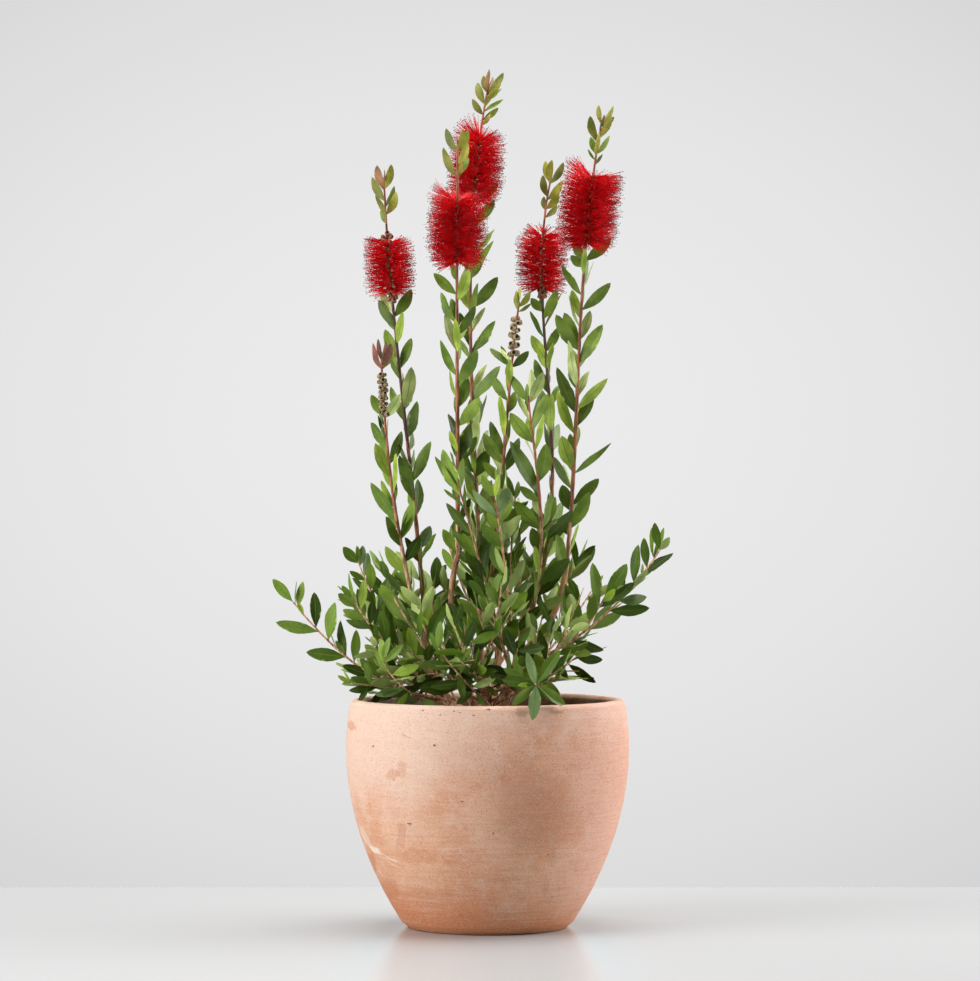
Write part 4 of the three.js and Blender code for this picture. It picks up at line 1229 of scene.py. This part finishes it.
def dressLeaves():
    points, faces, middle = leafArrays()
    materials = [leafMaterial(name, colour) for name, colour in leafTones.items()] + [ribMaterial()]
    draw = randomSource(977)
    for spray in sprays:
        for leaf in spray["leaves"]:
            leaf.setdefault("fold", between(*leafShape["folds"], next(draw)))
            leaf.setdefault("fullness", between(*leafShape["fullness"], next(draw)))
            leaf.setdefault("bow", 0.0)
            leaf["swing"] = between(*leafShape["swing"], next(draw))
            leaf["wave"] = between(*leafShape["wave"], next(draw))
    for name, isLow in (("shootLeaves", False), ("lowLeaves", True)):
        chosen = [s for s in sprays if (s["main"] is None or s["main"]["id"].startswith("low_")) == isLow]
        leaves = [leaf for spray in chosen for leaf in spray["leaves"]]
        batch = Batch()
        batch.add(bentLeaves(points, leaves), faces, leafSlotsOf(leaves, faces, middle))
        piece = batch.build(name, materials, 50)
        keep(piece, "foliage", *[s["main"]["id"] for s in chosen if s["main"]])


dressLeaves()

# Stems and twigs

stemTones = {
    "wood": (200, 154, 122),
    "brown": (156, 98, 72),
    "fair": (150, 98, 68),
    "dark": (88, 60, 48),
    "red": (160, 92, 76),
    "green": (122, 124, 58),
}

stemShape = {
    "sides": 8,
    "twigSides": 6,
    "step": 8,
    "knot": 0.12,
    "bump": 0.1,
    "oldUpTo": {"wood": 230, "brown": 300},  # height over the soil that the tone at the foot reaches
    "oldFade": 60,
    "redFrom": -0.01,  # from the brush's or the cups' end
    "greenFrom": 0.975,
}


def stemMaterial(name, colour):
    paint = Paint("stem" + name.title(), {"Roughness": 0.55, "Specular IOR Level": 0.35})
    streaks = paint.cloud(0.0024, 4, (1, 1, 0.14))
    base = tone(*colour)
    # A dark and a light copy of each tone along the streaks: partly grain, partly painted highlight and shade
    factor = paint.step(streaks, 0.32, 0.68)
    paint.finish("Base Color", paint.mix(factor, shaded(base, 0.42), shaded(base, 1.55)))
    paint.relief(streaks, 0.4, 0.0005)
    return paint.material


def addStem(batch, shoot, draw, sides):
    length = lengthOf(shoot["curve"])
    rings = max(6, int(length / stemShape["step"]))
    shares = np.linspace(0, 1, rings)
    radii = []
    for k, share in enumerate(shares):
        knot = 1 + stemShape["knot"] * (k % 2)
        bumps = [1 + stemShape["bump"] * (next(draw) - 0.5) for _ in range(sides)]
        radii.append([thinned(shoot["radius"], share) * knot * bump for bump in bumps])
    faces = ringFaces(rings, sides)
    order = list(stemTones)
    old, middle, new = shoot.get("stem", brown)
    taken = shoot.get("brush") or shoot.get("fruit") or (0.9, 0.9)
    slots = []
    for face in faces[:-2]:
        share = shares[face[0] // sides]
        height = pointOn(shoot["curve"], share)[2] - potShape["soil"]
        if height + stemShape["oldFade"] * next(draw) < stemShape["oldUpTo"][old]:
            name = old
        elif share < taken[1] + stemShape["redFrom"]:
            name = middle
        else:
            name = new if share < stemShape["greenFrom"] else "green"
        slots.append(order.index(name))
    slots += [slots[0], slots[-1]]
    batch.add(rodPoints(shoot["curve"], shares, radii, sides)[None], faces, np.array([slots]))


def dressStems():
    draw = randomSource(411)
    batch = Batch()
    for spray in sprays:
        if spray["main"]:
            addStem(batch, spray["main"], draw, stemShape["sides"])
        for shoot in spray["twigs"]:
            addStem(batch, shoot, draw, stemShape["twigSides"])
    piece = batch.build("stems", [stemMaterial(name, colour) for name, colour in stemTones.items()], 60)
    keep(piece, "bark", *[main["id"] for main in mains])


dressStems()

# Limbs and root crown, with their bark

barkShape = {"sides": 22, "step": 1.4, "ripple": 0.1, "relief": 0.7, "grain": 2.6, "stretch": 0.14}
crownShape = {
    "height": 24,
    "radius": 28.2,
    "waist": 0.52,  # shares of the radius
    "flare": 0.48,
    "shoulder": 0.2,
    "lean": -2,
    "ridges": 5,
    "ridge": 0.14,
}


def barkMaterial():
    paint = Paint("bark", {"Roughness": 0.85, "Specular IOR Level": 0.25})
    flakes = paint.cloud(0.005, 6, (1, 1, 0.2), 0.65)
    patches = paint.cloud(0.02, 3)
    brownBark = paint.mix(paint.step(patches, 0.35, 0.65), tone(160, 116, 86), tone(212, 166, 130))
    paint.finish("Base Color", paint.mix(paint.step(flakes, 0.36, 0.54), tone(98, 68, 50), brownBark))
    paint.relief(flakes, 0.8, 0.0012)
    return paint.material


def barkRod(curve, radius, seed, length):
    shape = barkShape
    rings, sides = int(length / shape["step"]), shape["sides"]
    shares = np.linspace(0, 1, rings)
    radii = []
    for share in shares:
        ring = []
        height = share * length * shape["stretch"] + seed * 31
        for s in range(sides):
            turn = 2 * math.pi * s / sides
            spot = Vector((math.cos(turn) * 5, math.sin(turn) * 5, height))
            grain = noise.fractal(spot / shape["grain"], 0.7, 2.1, 4)
            ring.append(radius(share, turn) * (1 + shape["ripple"] * grain) + shape["relief"] * max(0, grain))
        radii.append(ring)
    batch = Batch()
    batch.add(rodPoints(curve, shares, radii, sides)[None], ringFaces(rings, sides), 0)
    return batch


def crownRadius(share, turn):
    shape = crownShape
    ridge = 1 + shape["ridge"] * (1 - share) * math.cos(shape["ridges"] * turn)
    reach = shape["waist"] + shape["flare"] * (1 - share) ** 2 - shape["shoulder"] * share**6
    return shape["radius"] * reach * ridge


def dressLimbs():
    bark = barkMaterial()
    for number, (name, (_, radii)) in enumerate(limbs.items()):
        curve = limbCurves[name]
        rod = barkRod(curve, lambda share, turn: between(*radii, share), number, lengthOf(curve))
        keep(rod.build(name + "_bark", [bark], 40), "bark", name)
    base, high, lean = potShape["soil"] + 0.3, crownShape["height"], crownShape["lean"]
    curve = np.array([(lean * k / 3, 0.001 * k, base + high * k / 3) for k in range(4)], float)
    crown = barkRod(curve, crownRadius, 9, high * 1.6)
    keep(crown.build("root_crown_bark", [bark], 40), "bark", "root_crown")


dressLimbs()

# Brushes of blossom

brushShape = {
    "filaments": 46,
    "inset": (0.08, 0.2),  # share of the brush's length that only filaments reach into
    "lengths": (0.68, 1.03),
    "thickness": (0.36, 0.14),  # a filament's radius at foot and tip
    "cone": 0.5,  # slope of the outermost filaments of a floret
    "upward": 0.12,  # how far filaments bend up at most, and to any side
    "stray": 0.26,
    "foot": 0.2,  # the lowest and the topmost share of the florets, which lean and shorten
    "top": 0.16,
    "leans": (-0.22, 0.06),
    "lowest": (0.76, 0.14),  # how short the lowest florets are, and the share of them
    "seat": 1.4,  # how far they sit off the stem
    "opened": 1.5,
    "flat": 0.8,
    "vigour": (0.93, 1.04),
    "rings": 4,
    "knob": (0.42, 0.42, 0.62),
}

knobPoints = np.array([(1, 0, 0), (-1, 0, 0), (0, 1, 0), (0, -1, 0), (0, 0, 1), (0, 0, -1)], float)
knobFaces = [(0, 2, 4), (2, 1, 4), (1, 3, 4), (3, 0, 4), (2, 0, 5), (1, 2, 5), (3, 1, 5), (0, 3, 5)]


def blossomMaterial(name, colour, roughness):
    paint = Paint(name, {"Roughness": roughness, "Specular IOR Level": 0.2})
    base = tone(*colour)
    factor = paint.step(paint.cloud(0.006, 2), 0.3, 0.7)
    paint.finish("Base Color", paint.mix(factor, shaded(base, 0.75), shaded(base, 1.25)))
    return paint.material


def floretSeats(main):  # foot, heading and the shoot's direction at each floret of a brush
    start, end = main["brush"]
    shape = brushShape
    lowest, highest = between(start, end, shape["inset"][0]), between(end, start, shape["inset"][1])
    down, up = shape["leans"]
    seats = []
    count = main["florets"][0]
    for k in range(count):
        part = (k + 0.5) / count
        share = between(lowest, highest, part)
        axes = axesOn(main["curve"], share)
        out = outward(axes, growthRule["goldenAngle"] * k)
        ofFoot, ofRest = part / shape["foot"], (part - shape["foot"]) / (1 - shape["foot"])
        lean = between(down, 0.0, ofFoot) if ofFoot < 1 else between(0.0, up, ofRest)
        atTop = max(0, (part + shape["top"] - 1) / shape["top"])
        lean += main["tuft"][0 if out[0] < -0.2 else 1] * atTop
        base = pointOn(main["curve"], share) + out * (thinned(main["radius"], share) + shape["seat"])
        cropped = between(1, main["crop"][0 if out[0] < 0 else 1], atTop)
        cropped *= between(shape["lowest"][0], 1, min(1, part / shape["lowest"][1]))
        seats.append((base, unit(out + axes[0] * lean), axes[0], atTop, cropped))
    return seats


def addFilaments(batch, seats, reach, draw):
    shape = brushShape
    roots, headings, bends, lengths, shades = [], [], [], [], []
    for base, heading, along, atTop, cropped in seats:
        side = unit(np.cross(heading, along))
        front = np.cross(side, heading)
        vigour = between(*shape["vigour"], next(draw)) * cropped
        for _ in range(int(shape["filaments"] * (1 - 0.3 * heading[1] ** 2))):
            turn, opened = 2 * math.pi * next(draw), math.sqrt(next(draw))
            ring = side * math.cos(turn) + front * math.sin(turn) * shape["flat"]
            ring = ring - along * max(0, ring.dot(along)) * 0.7 * atTop
            roots.append(base + ring * shape["opened"] * opened)
            headings.append(unit(heading + ring * shape["cone"] * opened))
            upward = along * shape["upward"] * next(draw)
            stray = np.array([next(draw), next(draw), next(draw)]) - 0.5
            bends.append(upward + stray * shape["stray"])
            lengths.append(reach * vigour * between(*shape["lengths"], next(draw) ** 0.8))
            shades.append(dealt(((0, 0.5), (1, 0.32), (2, 0.18)), next(draw)))
    roots, headings, bends = map(np.array, (roots, headings, bends))
    lengths = np.array(lengths)[:, None]
    side = np.cross(headings, (0.3, 0.2, 1.0))
    side /= np.linalg.norm(side, axis=1)[:, None]
    front = np.cross(side, headings)
    rings = []
    for r in range(shape["rings"]):
        s = r / (shape["rings"] - 1)
        centre = roots + headings * lengths * s + bends * lengths * 0.5 * s * s
        size = between(*shape["thickness"], s)
        for angle in (0, 2 * math.pi / 3, 4 * math.pi / 3):
            rings.append(centre + (side * math.cos(angle) - front * math.sin(angle)) * size)
    faces = ringFaces(shape["rings"], 3)
    batch.add(np.stack(rings, axis=1), faces, np.repeat(np.array(shades)[:, None], len(faces), axis=1))
    tips = roots + headings * lengths + bends * lengths * 0.5
    batch.add(tips[:, None] + (knobPoints * shape["knob"])[None], knobFaces, 3)


def dressBrushes():
    materials = [
        blossomMaterial("stamenCrimson", (242, 8, 24), 0.5),
        blossomMaterial("stamenDeep", (212, 5, 16), 0.55),
        blossomMaterial("stamenBright", (250, 34, 46), 0.5),
        blossomMaterial("anther", (72, 16, 22), 0.6),
    ]
    draw = randomSource(53)
    for main in mains:
        if "brush" in main:
            main["seats"] = floretSeats(main)
            batch = Batch()
            addFilaments(batch, main["seats"], main["florets"][1], draw)
            name = main["id"].replace("flower_shoot", "brush")
            keep(batch.build(name, materials, 50), "foliage", main["id"])


dressBrushes()

# Seed cups, and the calyx cups of the florets

cupOutline = [  # radius and height, from the foot over the rim into the mouth
    (0.3, 0), (0.85, 0.14), (1.0, 0.42), (0.95, 0.74), (0.8, 0.97), (0.62, 1.0), (0.5, 0.86), (0.06, 0.6)
]
cupKinds = {  # radius, height, sides and first tone; seed cups have a radius of their own
    "seed": {"slim": 1.75, "sides": 8, "slot": 0},
    "calyx": {"radius": 1.9, "height": 3.4, "sides": 6, "slot": 2, "sunk": 1.4},
    "old": {"radius": 2.6, "height": 4.6, "sides": 8, "slot": 4},
}


def cupArrays(sides):  # a rounded cup with a sunk mouth, looking along +Z, and its faces' tones
    angles = np.arange(sides) * 2 * math.pi / sides
    circle = np.stack([np.cos(angles), np.sin(angles), np.ones(sides)], axis=1)
    rings = [circle * (radius, radius, height) for radius, height in cupOutline]
    faces = ringFaces(len(cupOutline), sides)
    mouth = (len(cupOutline) - 3) * sides
    tones = np.zeros(len(faces), int)
    tones[mouth:-2] = 1
    tones[-1] = 1
    return np.concatenate(rings), faces, tones


def addCups(batch, seats, kind, radius, height):
    points, faces, tones = cupArrays(kind["sides"])
    placed = []
    for k, (base, heading) in enumerate(seats):
        z = unit(heading)
        x = unit(np.cross(z, (0.31, 0.17, 1.0)))
        y = np.cross(z, x)
        size = 0.88 + 0.24 * math.sin(2.4 * k) ** 2
        local = points * (radius, radius, height) * size
        placed.append(base + local[:, :1] * x + local[:, 1:2] * y + local[:, 2:] * z)
    batch.add(np.array(placed), faces, tones + kind["slot"])


cupRows = {"perRow": 4, "rise": 0.14, "turn": 47, "spread": 24, "lean": (0.05, 0.4)}
oldCups = {"count": 10, "spread": 20, "reach": {"below": (0.5, 2), "above": (0.5, 7)}, "lean": (0.1, 0.5)}


def fruitSeats(main, draw):
    shape, gap = cupRows, main["cup"][1]
    start, end = main["fruit"]
    rows = round(lengthOf(main["curve"]) * (end - start) / gap)
    seats = []
    for row in range(rows):
        for k in range(shape["perRow"]):
            share = between(start, end, (row + 0.4 + shape["rise"] * k + 0.1 * next(draw)) / rows)
            axes = axesOn(main["curve"], share)
            azimuth = 360 / shape["perRow"] * k + shape["turn"] * row + shape["spread"] * next(draw)
            out = outward(axes, azimuth)
            base = pointOn(main["curve"], share) + out * thinned(main["radius"], share) * 0.7
            seats.append((base, out + axes[0] * between(*shape["lean"], next(draw))))
    return seats


def oldCupSeats(main, draw):
    seats = []
    shape, shares = oldCups, main["oldCups"]
    for start, end in zip(shares[::2], shares[1::2]):
        reach = shape["reach"]["above" if start > main["brush"][0] else "below"]
        for k in range(shape["count"]):
            share = between(start, end, (k + next(draw)) / shape["count"])
            axes = axesOn(main["curve"], share)
            out = outward(axes, growthRule["goldenAngle"] * k + shape["spread"] * next(draw))
            base = pointOn(main["curve"], share) + out * between(*reach, next(draw))
            seats.append((base, out + axes[0] * between(*shape["lean"], next(draw))))
    return seats


def dressCups():
    materials = [
        blossomMaterial("seedCup", (158, 140, 106), 0.7),
        blossomMaterial("seedCupMouth", (88, 64, 46), 0.85),
        blossomMaterial("calyx", (132, 122, 66), 0.65),
        blossomMaterial("calyxMouth", (120, 40, 34), 0.7),
        blossomMaterial("oldCup", (152, 112, 84), 0.7),
        blossomMaterial("oldCupMouth", (128, 42, 40), 0.7),
    ]
    batch = Batch()
    draw = randomSource(29)
    seed, calyx, old = cupKinds.values()
    for main in mains:
        if "fruit" in main:
            radius = main["cup"][0]
            addCups(batch, fruitSeats(main, draw), seed, radius, radius * seed["slim"])
        if "brush" in main:
            seats = [(base - heading * calyx["sunk"], heading) for base, heading, *_ in main["seats"]]
            addCups(batch, seats, calyx, calyx["radius"], calyx["height"])
        if "oldCups" in main:
            addCups(batch, oldCupSeats(main, draw), old, old["radius"], old["height"])
    keep(batch.build("seedCups", materials, 50), "foliage")


dressCups()

# The pot

potDetail = {
    "segments": 160,
    "step": 2.4,
    "ripple": 0.07,
    "footRing": [(-14, 1.2), (-9, 0), (-3.4, 0), (-1.2, 0.9), (0.6, 3)],  # from the foot's edge, and up
    "floor": 30,  # below the soil
}


def ripple(z):
    waves = math.sin(z / 2.9) + 0.7 * math.sin(z / 5.3 + 1) + 0.6 * math.sin(z / 1.9 + 2)
    return potDetail["ripple"] * waves


def potOutline():  # from the middle of the underside, up the outside, over the lip and down inside
    shape, step = potShape, potDetail["step"]
    foot, wall, lip = shape["footRadius"], shape["wall"], shape["lip"]
    shoulder = shape["rimHeight"] - lip
    middle = outerRadius(shoulder) - wall / 2
    outline = [(0.5, 1.2), *((foot + aside, up) for aside, up in potDetail["footRing"])]
    outline += [(outerRadius(z) - 0.2 + ripple(z), z) for z in np.arange(6, shoulder - 3, step)]
    for angle in range(0, 181, 15):
        turn = math.radians(angle)
        outline.append((middle + (wall / 2 - 0.2) * math.cos(turn), shoulder + lip * math.sin(turn)))
    below = shape["soil"] - potDetail["floor"]
    outline += [(innerRadius(z) + 0.3 + ripple(z + 40), z) for z in np.arange(shoulder - 3, below, -step)]
    outline += [(innerRadius(below) - 8, below - 4), (0.5, below - 4)]
    return outline


def modelPot():
    outline = [Vector((radius * mm, 0, height * mm)) for radius, height in potOutline()]
    bpy.ops.mesh.primitive_plane_add(size=0.01)
    pot = bpy.context.object
    pot.name = "terracottaPot"
    bpy.ops.object.mode_set(mode="EDIT")
    bpy.ops.mesh.merge(type="CENTER")
    bpy.ops.transform.translate(value=outline[0])
    for last, point in zip(outline, outline[1:]):
        bpy.ops.mesh.extrude_region_move(TRANSFORM_OT_translate={"value": point - last})
    bpy.ops.mesh.select_all(action="SELECT")
    bpy.ops.mesh.spin(steps=potDetail["segments"], angle=2 * math.pi, center=(0, 0, 0), axis=(0, 0, 1))
    bpy.ops.mesh.select_all(action="SELECT")
    bpy.ops.mesh.remove_doubles(threshold=0.00005)
    bpy.ops.mesh.normals_make_consistent(inside=False)
    bpy.ops.object.mode_set(mode="OBJECT")
    return pot


clayTones = {
    "clay": (215, 154, 120),
    "light": (224, 171, 138),
    "chalk": (232, 204, 186),
    "pink": (222, 172, 154),
    "rust": (196, 124, 84),
    "foot": (216, 137, 90),
    "dull": (188, 128, 97),
    "scuff": (240, 222, 204),
    "stain": (120, 76, 58),
    "pit": (92, 66, 52),
    "damp": (124, 82, 58),
}

potMarks = [  # across and up in millimetres, reach both ways, how strong, and the tone
    # The two large dull marks right of the middle, at (30, 172) and (46, 128), are partly a duller clay and
    # partly painted shade
    (-97, 169, 9, 7, 0.4, "rust"), (-88, 173, 6, 12, 0.34, "rust"), (-142, 214, 6, 5, 0.5, "rust"),
    (-84, 208, 7, 2, 0.45, "rust"), (18, 165, 8, 6, 0.3, "rust"), (30, 172, 44, 26, 0.22, "dull"),
    (-88, 106, 6, 18, 0.35, "rust"), (-122, 64, 7, 26, 0.55, "rust"), (-104, 44, 16, 14, 0.5, "rust"),
    (-72, 84, 26, 11, 0.4, "rust"), (-60, 44, 40, 8, 0.35, "rust"), (-128, 99, 16, 4, 0.45, "scuff", -58),
    (-117, 86, 8, 4, 0.9, "scuff", -32), (-103, 80, 18, 1.1, 0.55, "scuff", -22),
    (-100, 74, 12, 0.8, 0.4, "scuff", -30), (46, 128, 52, 54, 0.6, "dull"), (66, 84, 7, 14, 0.35, "dull"),
    (60, 52, 5, 14, 0.3, "dull"), (-54, 200, 1.6, 1.3, 0.9, "pit"), (-118, 196, 1.6, 1.6, 0.7, "pit"),
    (-80, 118, 3.2, 0.9, 0.9, "pit"), (-26, 143, 2.2, 0.9, 0.8, "pit"), (-46, 84, 1.2, 1.2, 0.7, "pit"),
    (6, 110, 1.2, 2.4, 0.7, "pit"), (62, 86, 1.6, 1.1, 0.7, "pit"), (36, 233, 9, 3.4, 0.4, "stain"),
    (71, 233, 10, 3.6, 0.5, "stain"), (-66, 235, 1.3, 0.8, 0.9, "pit"), (-34, 235, 2, 0.8, 0.8, "pit"),
    (-28, 233.5, 1.2, 0.7, 0.8, "pit"), (-14, 231, 1.6, 1, 0.9, "pit"), (1, 237, 2.4, 0.8, 0.9, "pit"),
    (-48, 231, 0.9, 0.9, 0.7, "pit"),
]
markMoves = {"pit": 0.0, "scuff": 0.35}  # how much of the ragged shift such a mark takes
markEdges = {"dull": 1.2, "stain": 1.2}  # how softly it ends


def clayMaterial():
    paint = Paint("terracotta", {"Specular IOR Level": 0.3})
    tones = {name: tone(*colour) for name, colour in clayTones.items()}
    x, y, z = paint.axes(paint.spot)
    wide, small, fine = paint.cloud(0.07, 4), paint.cloud(0.014, 4), paint.cloud(0.0013, 2)
    lines = paint.cloud(0.016, 4, (0.3, 0.3, 6))
    threads = paint.cloud(0.005, 3, (0.16, 0.16, 4))
    # left and upper mark the pot's upper left side, which is painted lighter as a highlight
    left = paint.step(x + (wide - 0.5) * 0.12, 0.07, -0.09)
    upper = paint.step(z + (wide - 0.5) * 0.16, 0.09, 0.2)
    collar = paint.step(z + (small - 0.5) * 0.04, 0.19, 0.236)
    # right marks the pot's right side, which is painted lighter as a highlight
    right = paint.step(x + (wide - 0.5) * 0.08, 0.06, 0.12)
    foot = paint.step(z + (wide - 0.5) * 0.08 + (small - 0.5) * 0.02, 0.062, 0.004)
    lower = paint.step(z, 0.19, 0.1)
    base = paint.mix(paint.step(wide, 0.35, 0.65), tones["clay"], tones["light"])
    layers = [  # each over those before it
        (paint.step(small, 0.5, 0.72) * 0.35, "chalk"),
        (paint.step(small, 0.44, 0.3) * 0.3, "rust"),
        # Painted highlight on the right side
        (right * 0.6, "pink"),
        # Painted highlight on the upper left side
        (left * upper * 0.7, "chalk"),
        (collar * 0.36, "chalk"),
        (foot * 0.85, "foot"),
        (paint.step(lines, 0.54, 0.72) * (0.08 + lower * 0.16), "chalk"),
        (paint.step(lines, 0.46, 0.3) * (0.08 + lower * 0.18), "dull"),
        (paint.step(threads, 0.52, 0.7) * 0.16, "chalk"),
        # Fewer dark threads where the upper left is painted lighter
        (paint.step(threads, 0.48, 0.3) * (0.2 - left * upper * 0.14), "dull"),
    ]
    front = y < 0.0
    ragged = (small - 0.5) * 1.6 + (fine - 0.5) * 0.5
    shiftX, shiftZ = (small - 0.5) * 0.014, (paint.cloud(0.009, 3) - 0.5) * 0.012
    for placeX, placeZ, reachX, reachZ, strength, name, *tilt in potMarks:
        moved = markMoves.get(name, 1.0)
        turn = math.radians(tilt[0] if tilt else 0)
        aside, above = x + shiftX * moved - placeX * mm, z + shiftZ * moved - placeZ * mm
        across = (aside * math.cos(turn) + above * math.sin(turn)) / (reachX * mm)
        up = (above * math.cos(turn) - aside * math.sin(turn)) / (reachZ * mm)
        mark = paint.step(1.0 - across * across - up * up + ragged, 0.0, markEdges.get(name, 0.7))
        layers.append((mark * front * strength, name))
    # Painted shade on the pot's inside wall, below the lip
    inside = (x * x + y * y < 0.0187) * (z > 0.19) * paint.step(z + (small - 0.5) * 0.02, 0.242, 0.226)
    layers += [
        (paint.step(fine, 0.55, 0.72) * 0.5, "chalk"),
        (paint.step(fine, 0.45, 0.28) * 0.42, "pit"),
        (inside * 0.8, "damp"),
    ]
    for share, name in layers:
        base = paint.mix(share, base, tones[name])
    paint.finish("Base Color", base)
    paint.finish("Roughness", 0.7 + fine * 0.24)
    paint.relief(fine * 0.6 + lines * 0.6 + small * 0.4, 0.4, 0.0009)
    return paint.material


def dressPot():
    pot = modelPot()
    pot.data.materials.append(clayMaterial())
    select(pot)
    bpy.ops.object.shade_smooth_by_angle(angle=math.radians(50))
    keep(pot, "terracotta", "pot")
    print("pot has", len(pot.data.polygons), "faces")


dressPot()

# The soil

soilShape = {
    "cells": 70,
    "hump": 2.6,
    "humps": 60,  # how close they lie
    "sunk": 3,
    "depth": 20,
    "crumbs": 1500,
    "crumb": (0.8, 2.6),
}


def soilMaterial():
    paint = Paint("pottingSoil", {"Roughness": 0.95, "Specular IOR Level": 0.2})
    crumbs = paint.cloud(0.004, 4, (1, 1, 1), 0.7)
    paint.finish("Base Color", paint.mix(paint.step(crumbs, 0.35, 0.65), tone(36, 26, 20), tone(74, 54, 40)))
    paint.relief(crumbs, 0.7, 0.002)
    return paint.material


def modelSoil():
    reach = innerRadius(potShape["soil"]) - 0.7
    cells = soilShape["cells"]
    bpy.ops.mesh.primitive_grid_add(x_subdivisions=cells, y_subdivisions=cells, size=2)
    soil = bpy.context.object
    soil.name = "pottingSoil"
    for vertex in soil.data.vertices:
        x, y = vertex.co.x, vertex.co.y
        rounding = max(abs(x), abs(y)) / max(math.hypot(x, y), 1e-9) * reach * mm
        x, y = x * rounding, y * rounding
        hump = soilShape["hump"] * noise.fractal(Vector((x, y, 0)) * soilShape["humps"], 0.8, 2.0, 3)
        vertex.co = (x, y, (potShape["soil"] - soilShape["sunk"] + hump) * mm)
    select(soil)
    bpy.ops.object.shade_smooth()
    bpy.ops.object.modifier_add(type="SOLIDIFY")
    soil.modifiers[-1].thickness = soilShape["depth"] * mm
    bpy.ops.object.modifier_apply(modifier=soil.modifiers[-1].name)
    return soil


def crumbBatch():
    draw = randomSource(7)
    reach = innerRadius(potShape["soil"]) - 4
    crumbs = []
    for _ in range(soilShape["crumbs"]):
        radius, turn = reach * math.sqrt(next(draw)), 2 * math.pi * next(draw)
        size = between(*soilShape["crumb"], next(draw) ** 3)
        centre = np.array([radius * math.cos(turn), radius * math.sin(turn), potShape["soil"] - 2.4])
        jitter = np.array([[next(draw) for _ in range(3)] for _ in range(6)]) - 0.5
        crumbs.append(centre + (knobPoints + jitter * 0.7) * size)
    batch = Batch()
    batch.add(np.array(crumbs), knobFaces, 0)
    return batch


def dressSoil():
    soil = modelSoil()
    material = soilMaterial()
    soil.data.materials.append(material)
    keep(soil, "soil", "soil")
    keep(crumbBatch().build("soilCrumbs", [material]), "soil", "soil")


dressSoil()

print("all pieces are made")
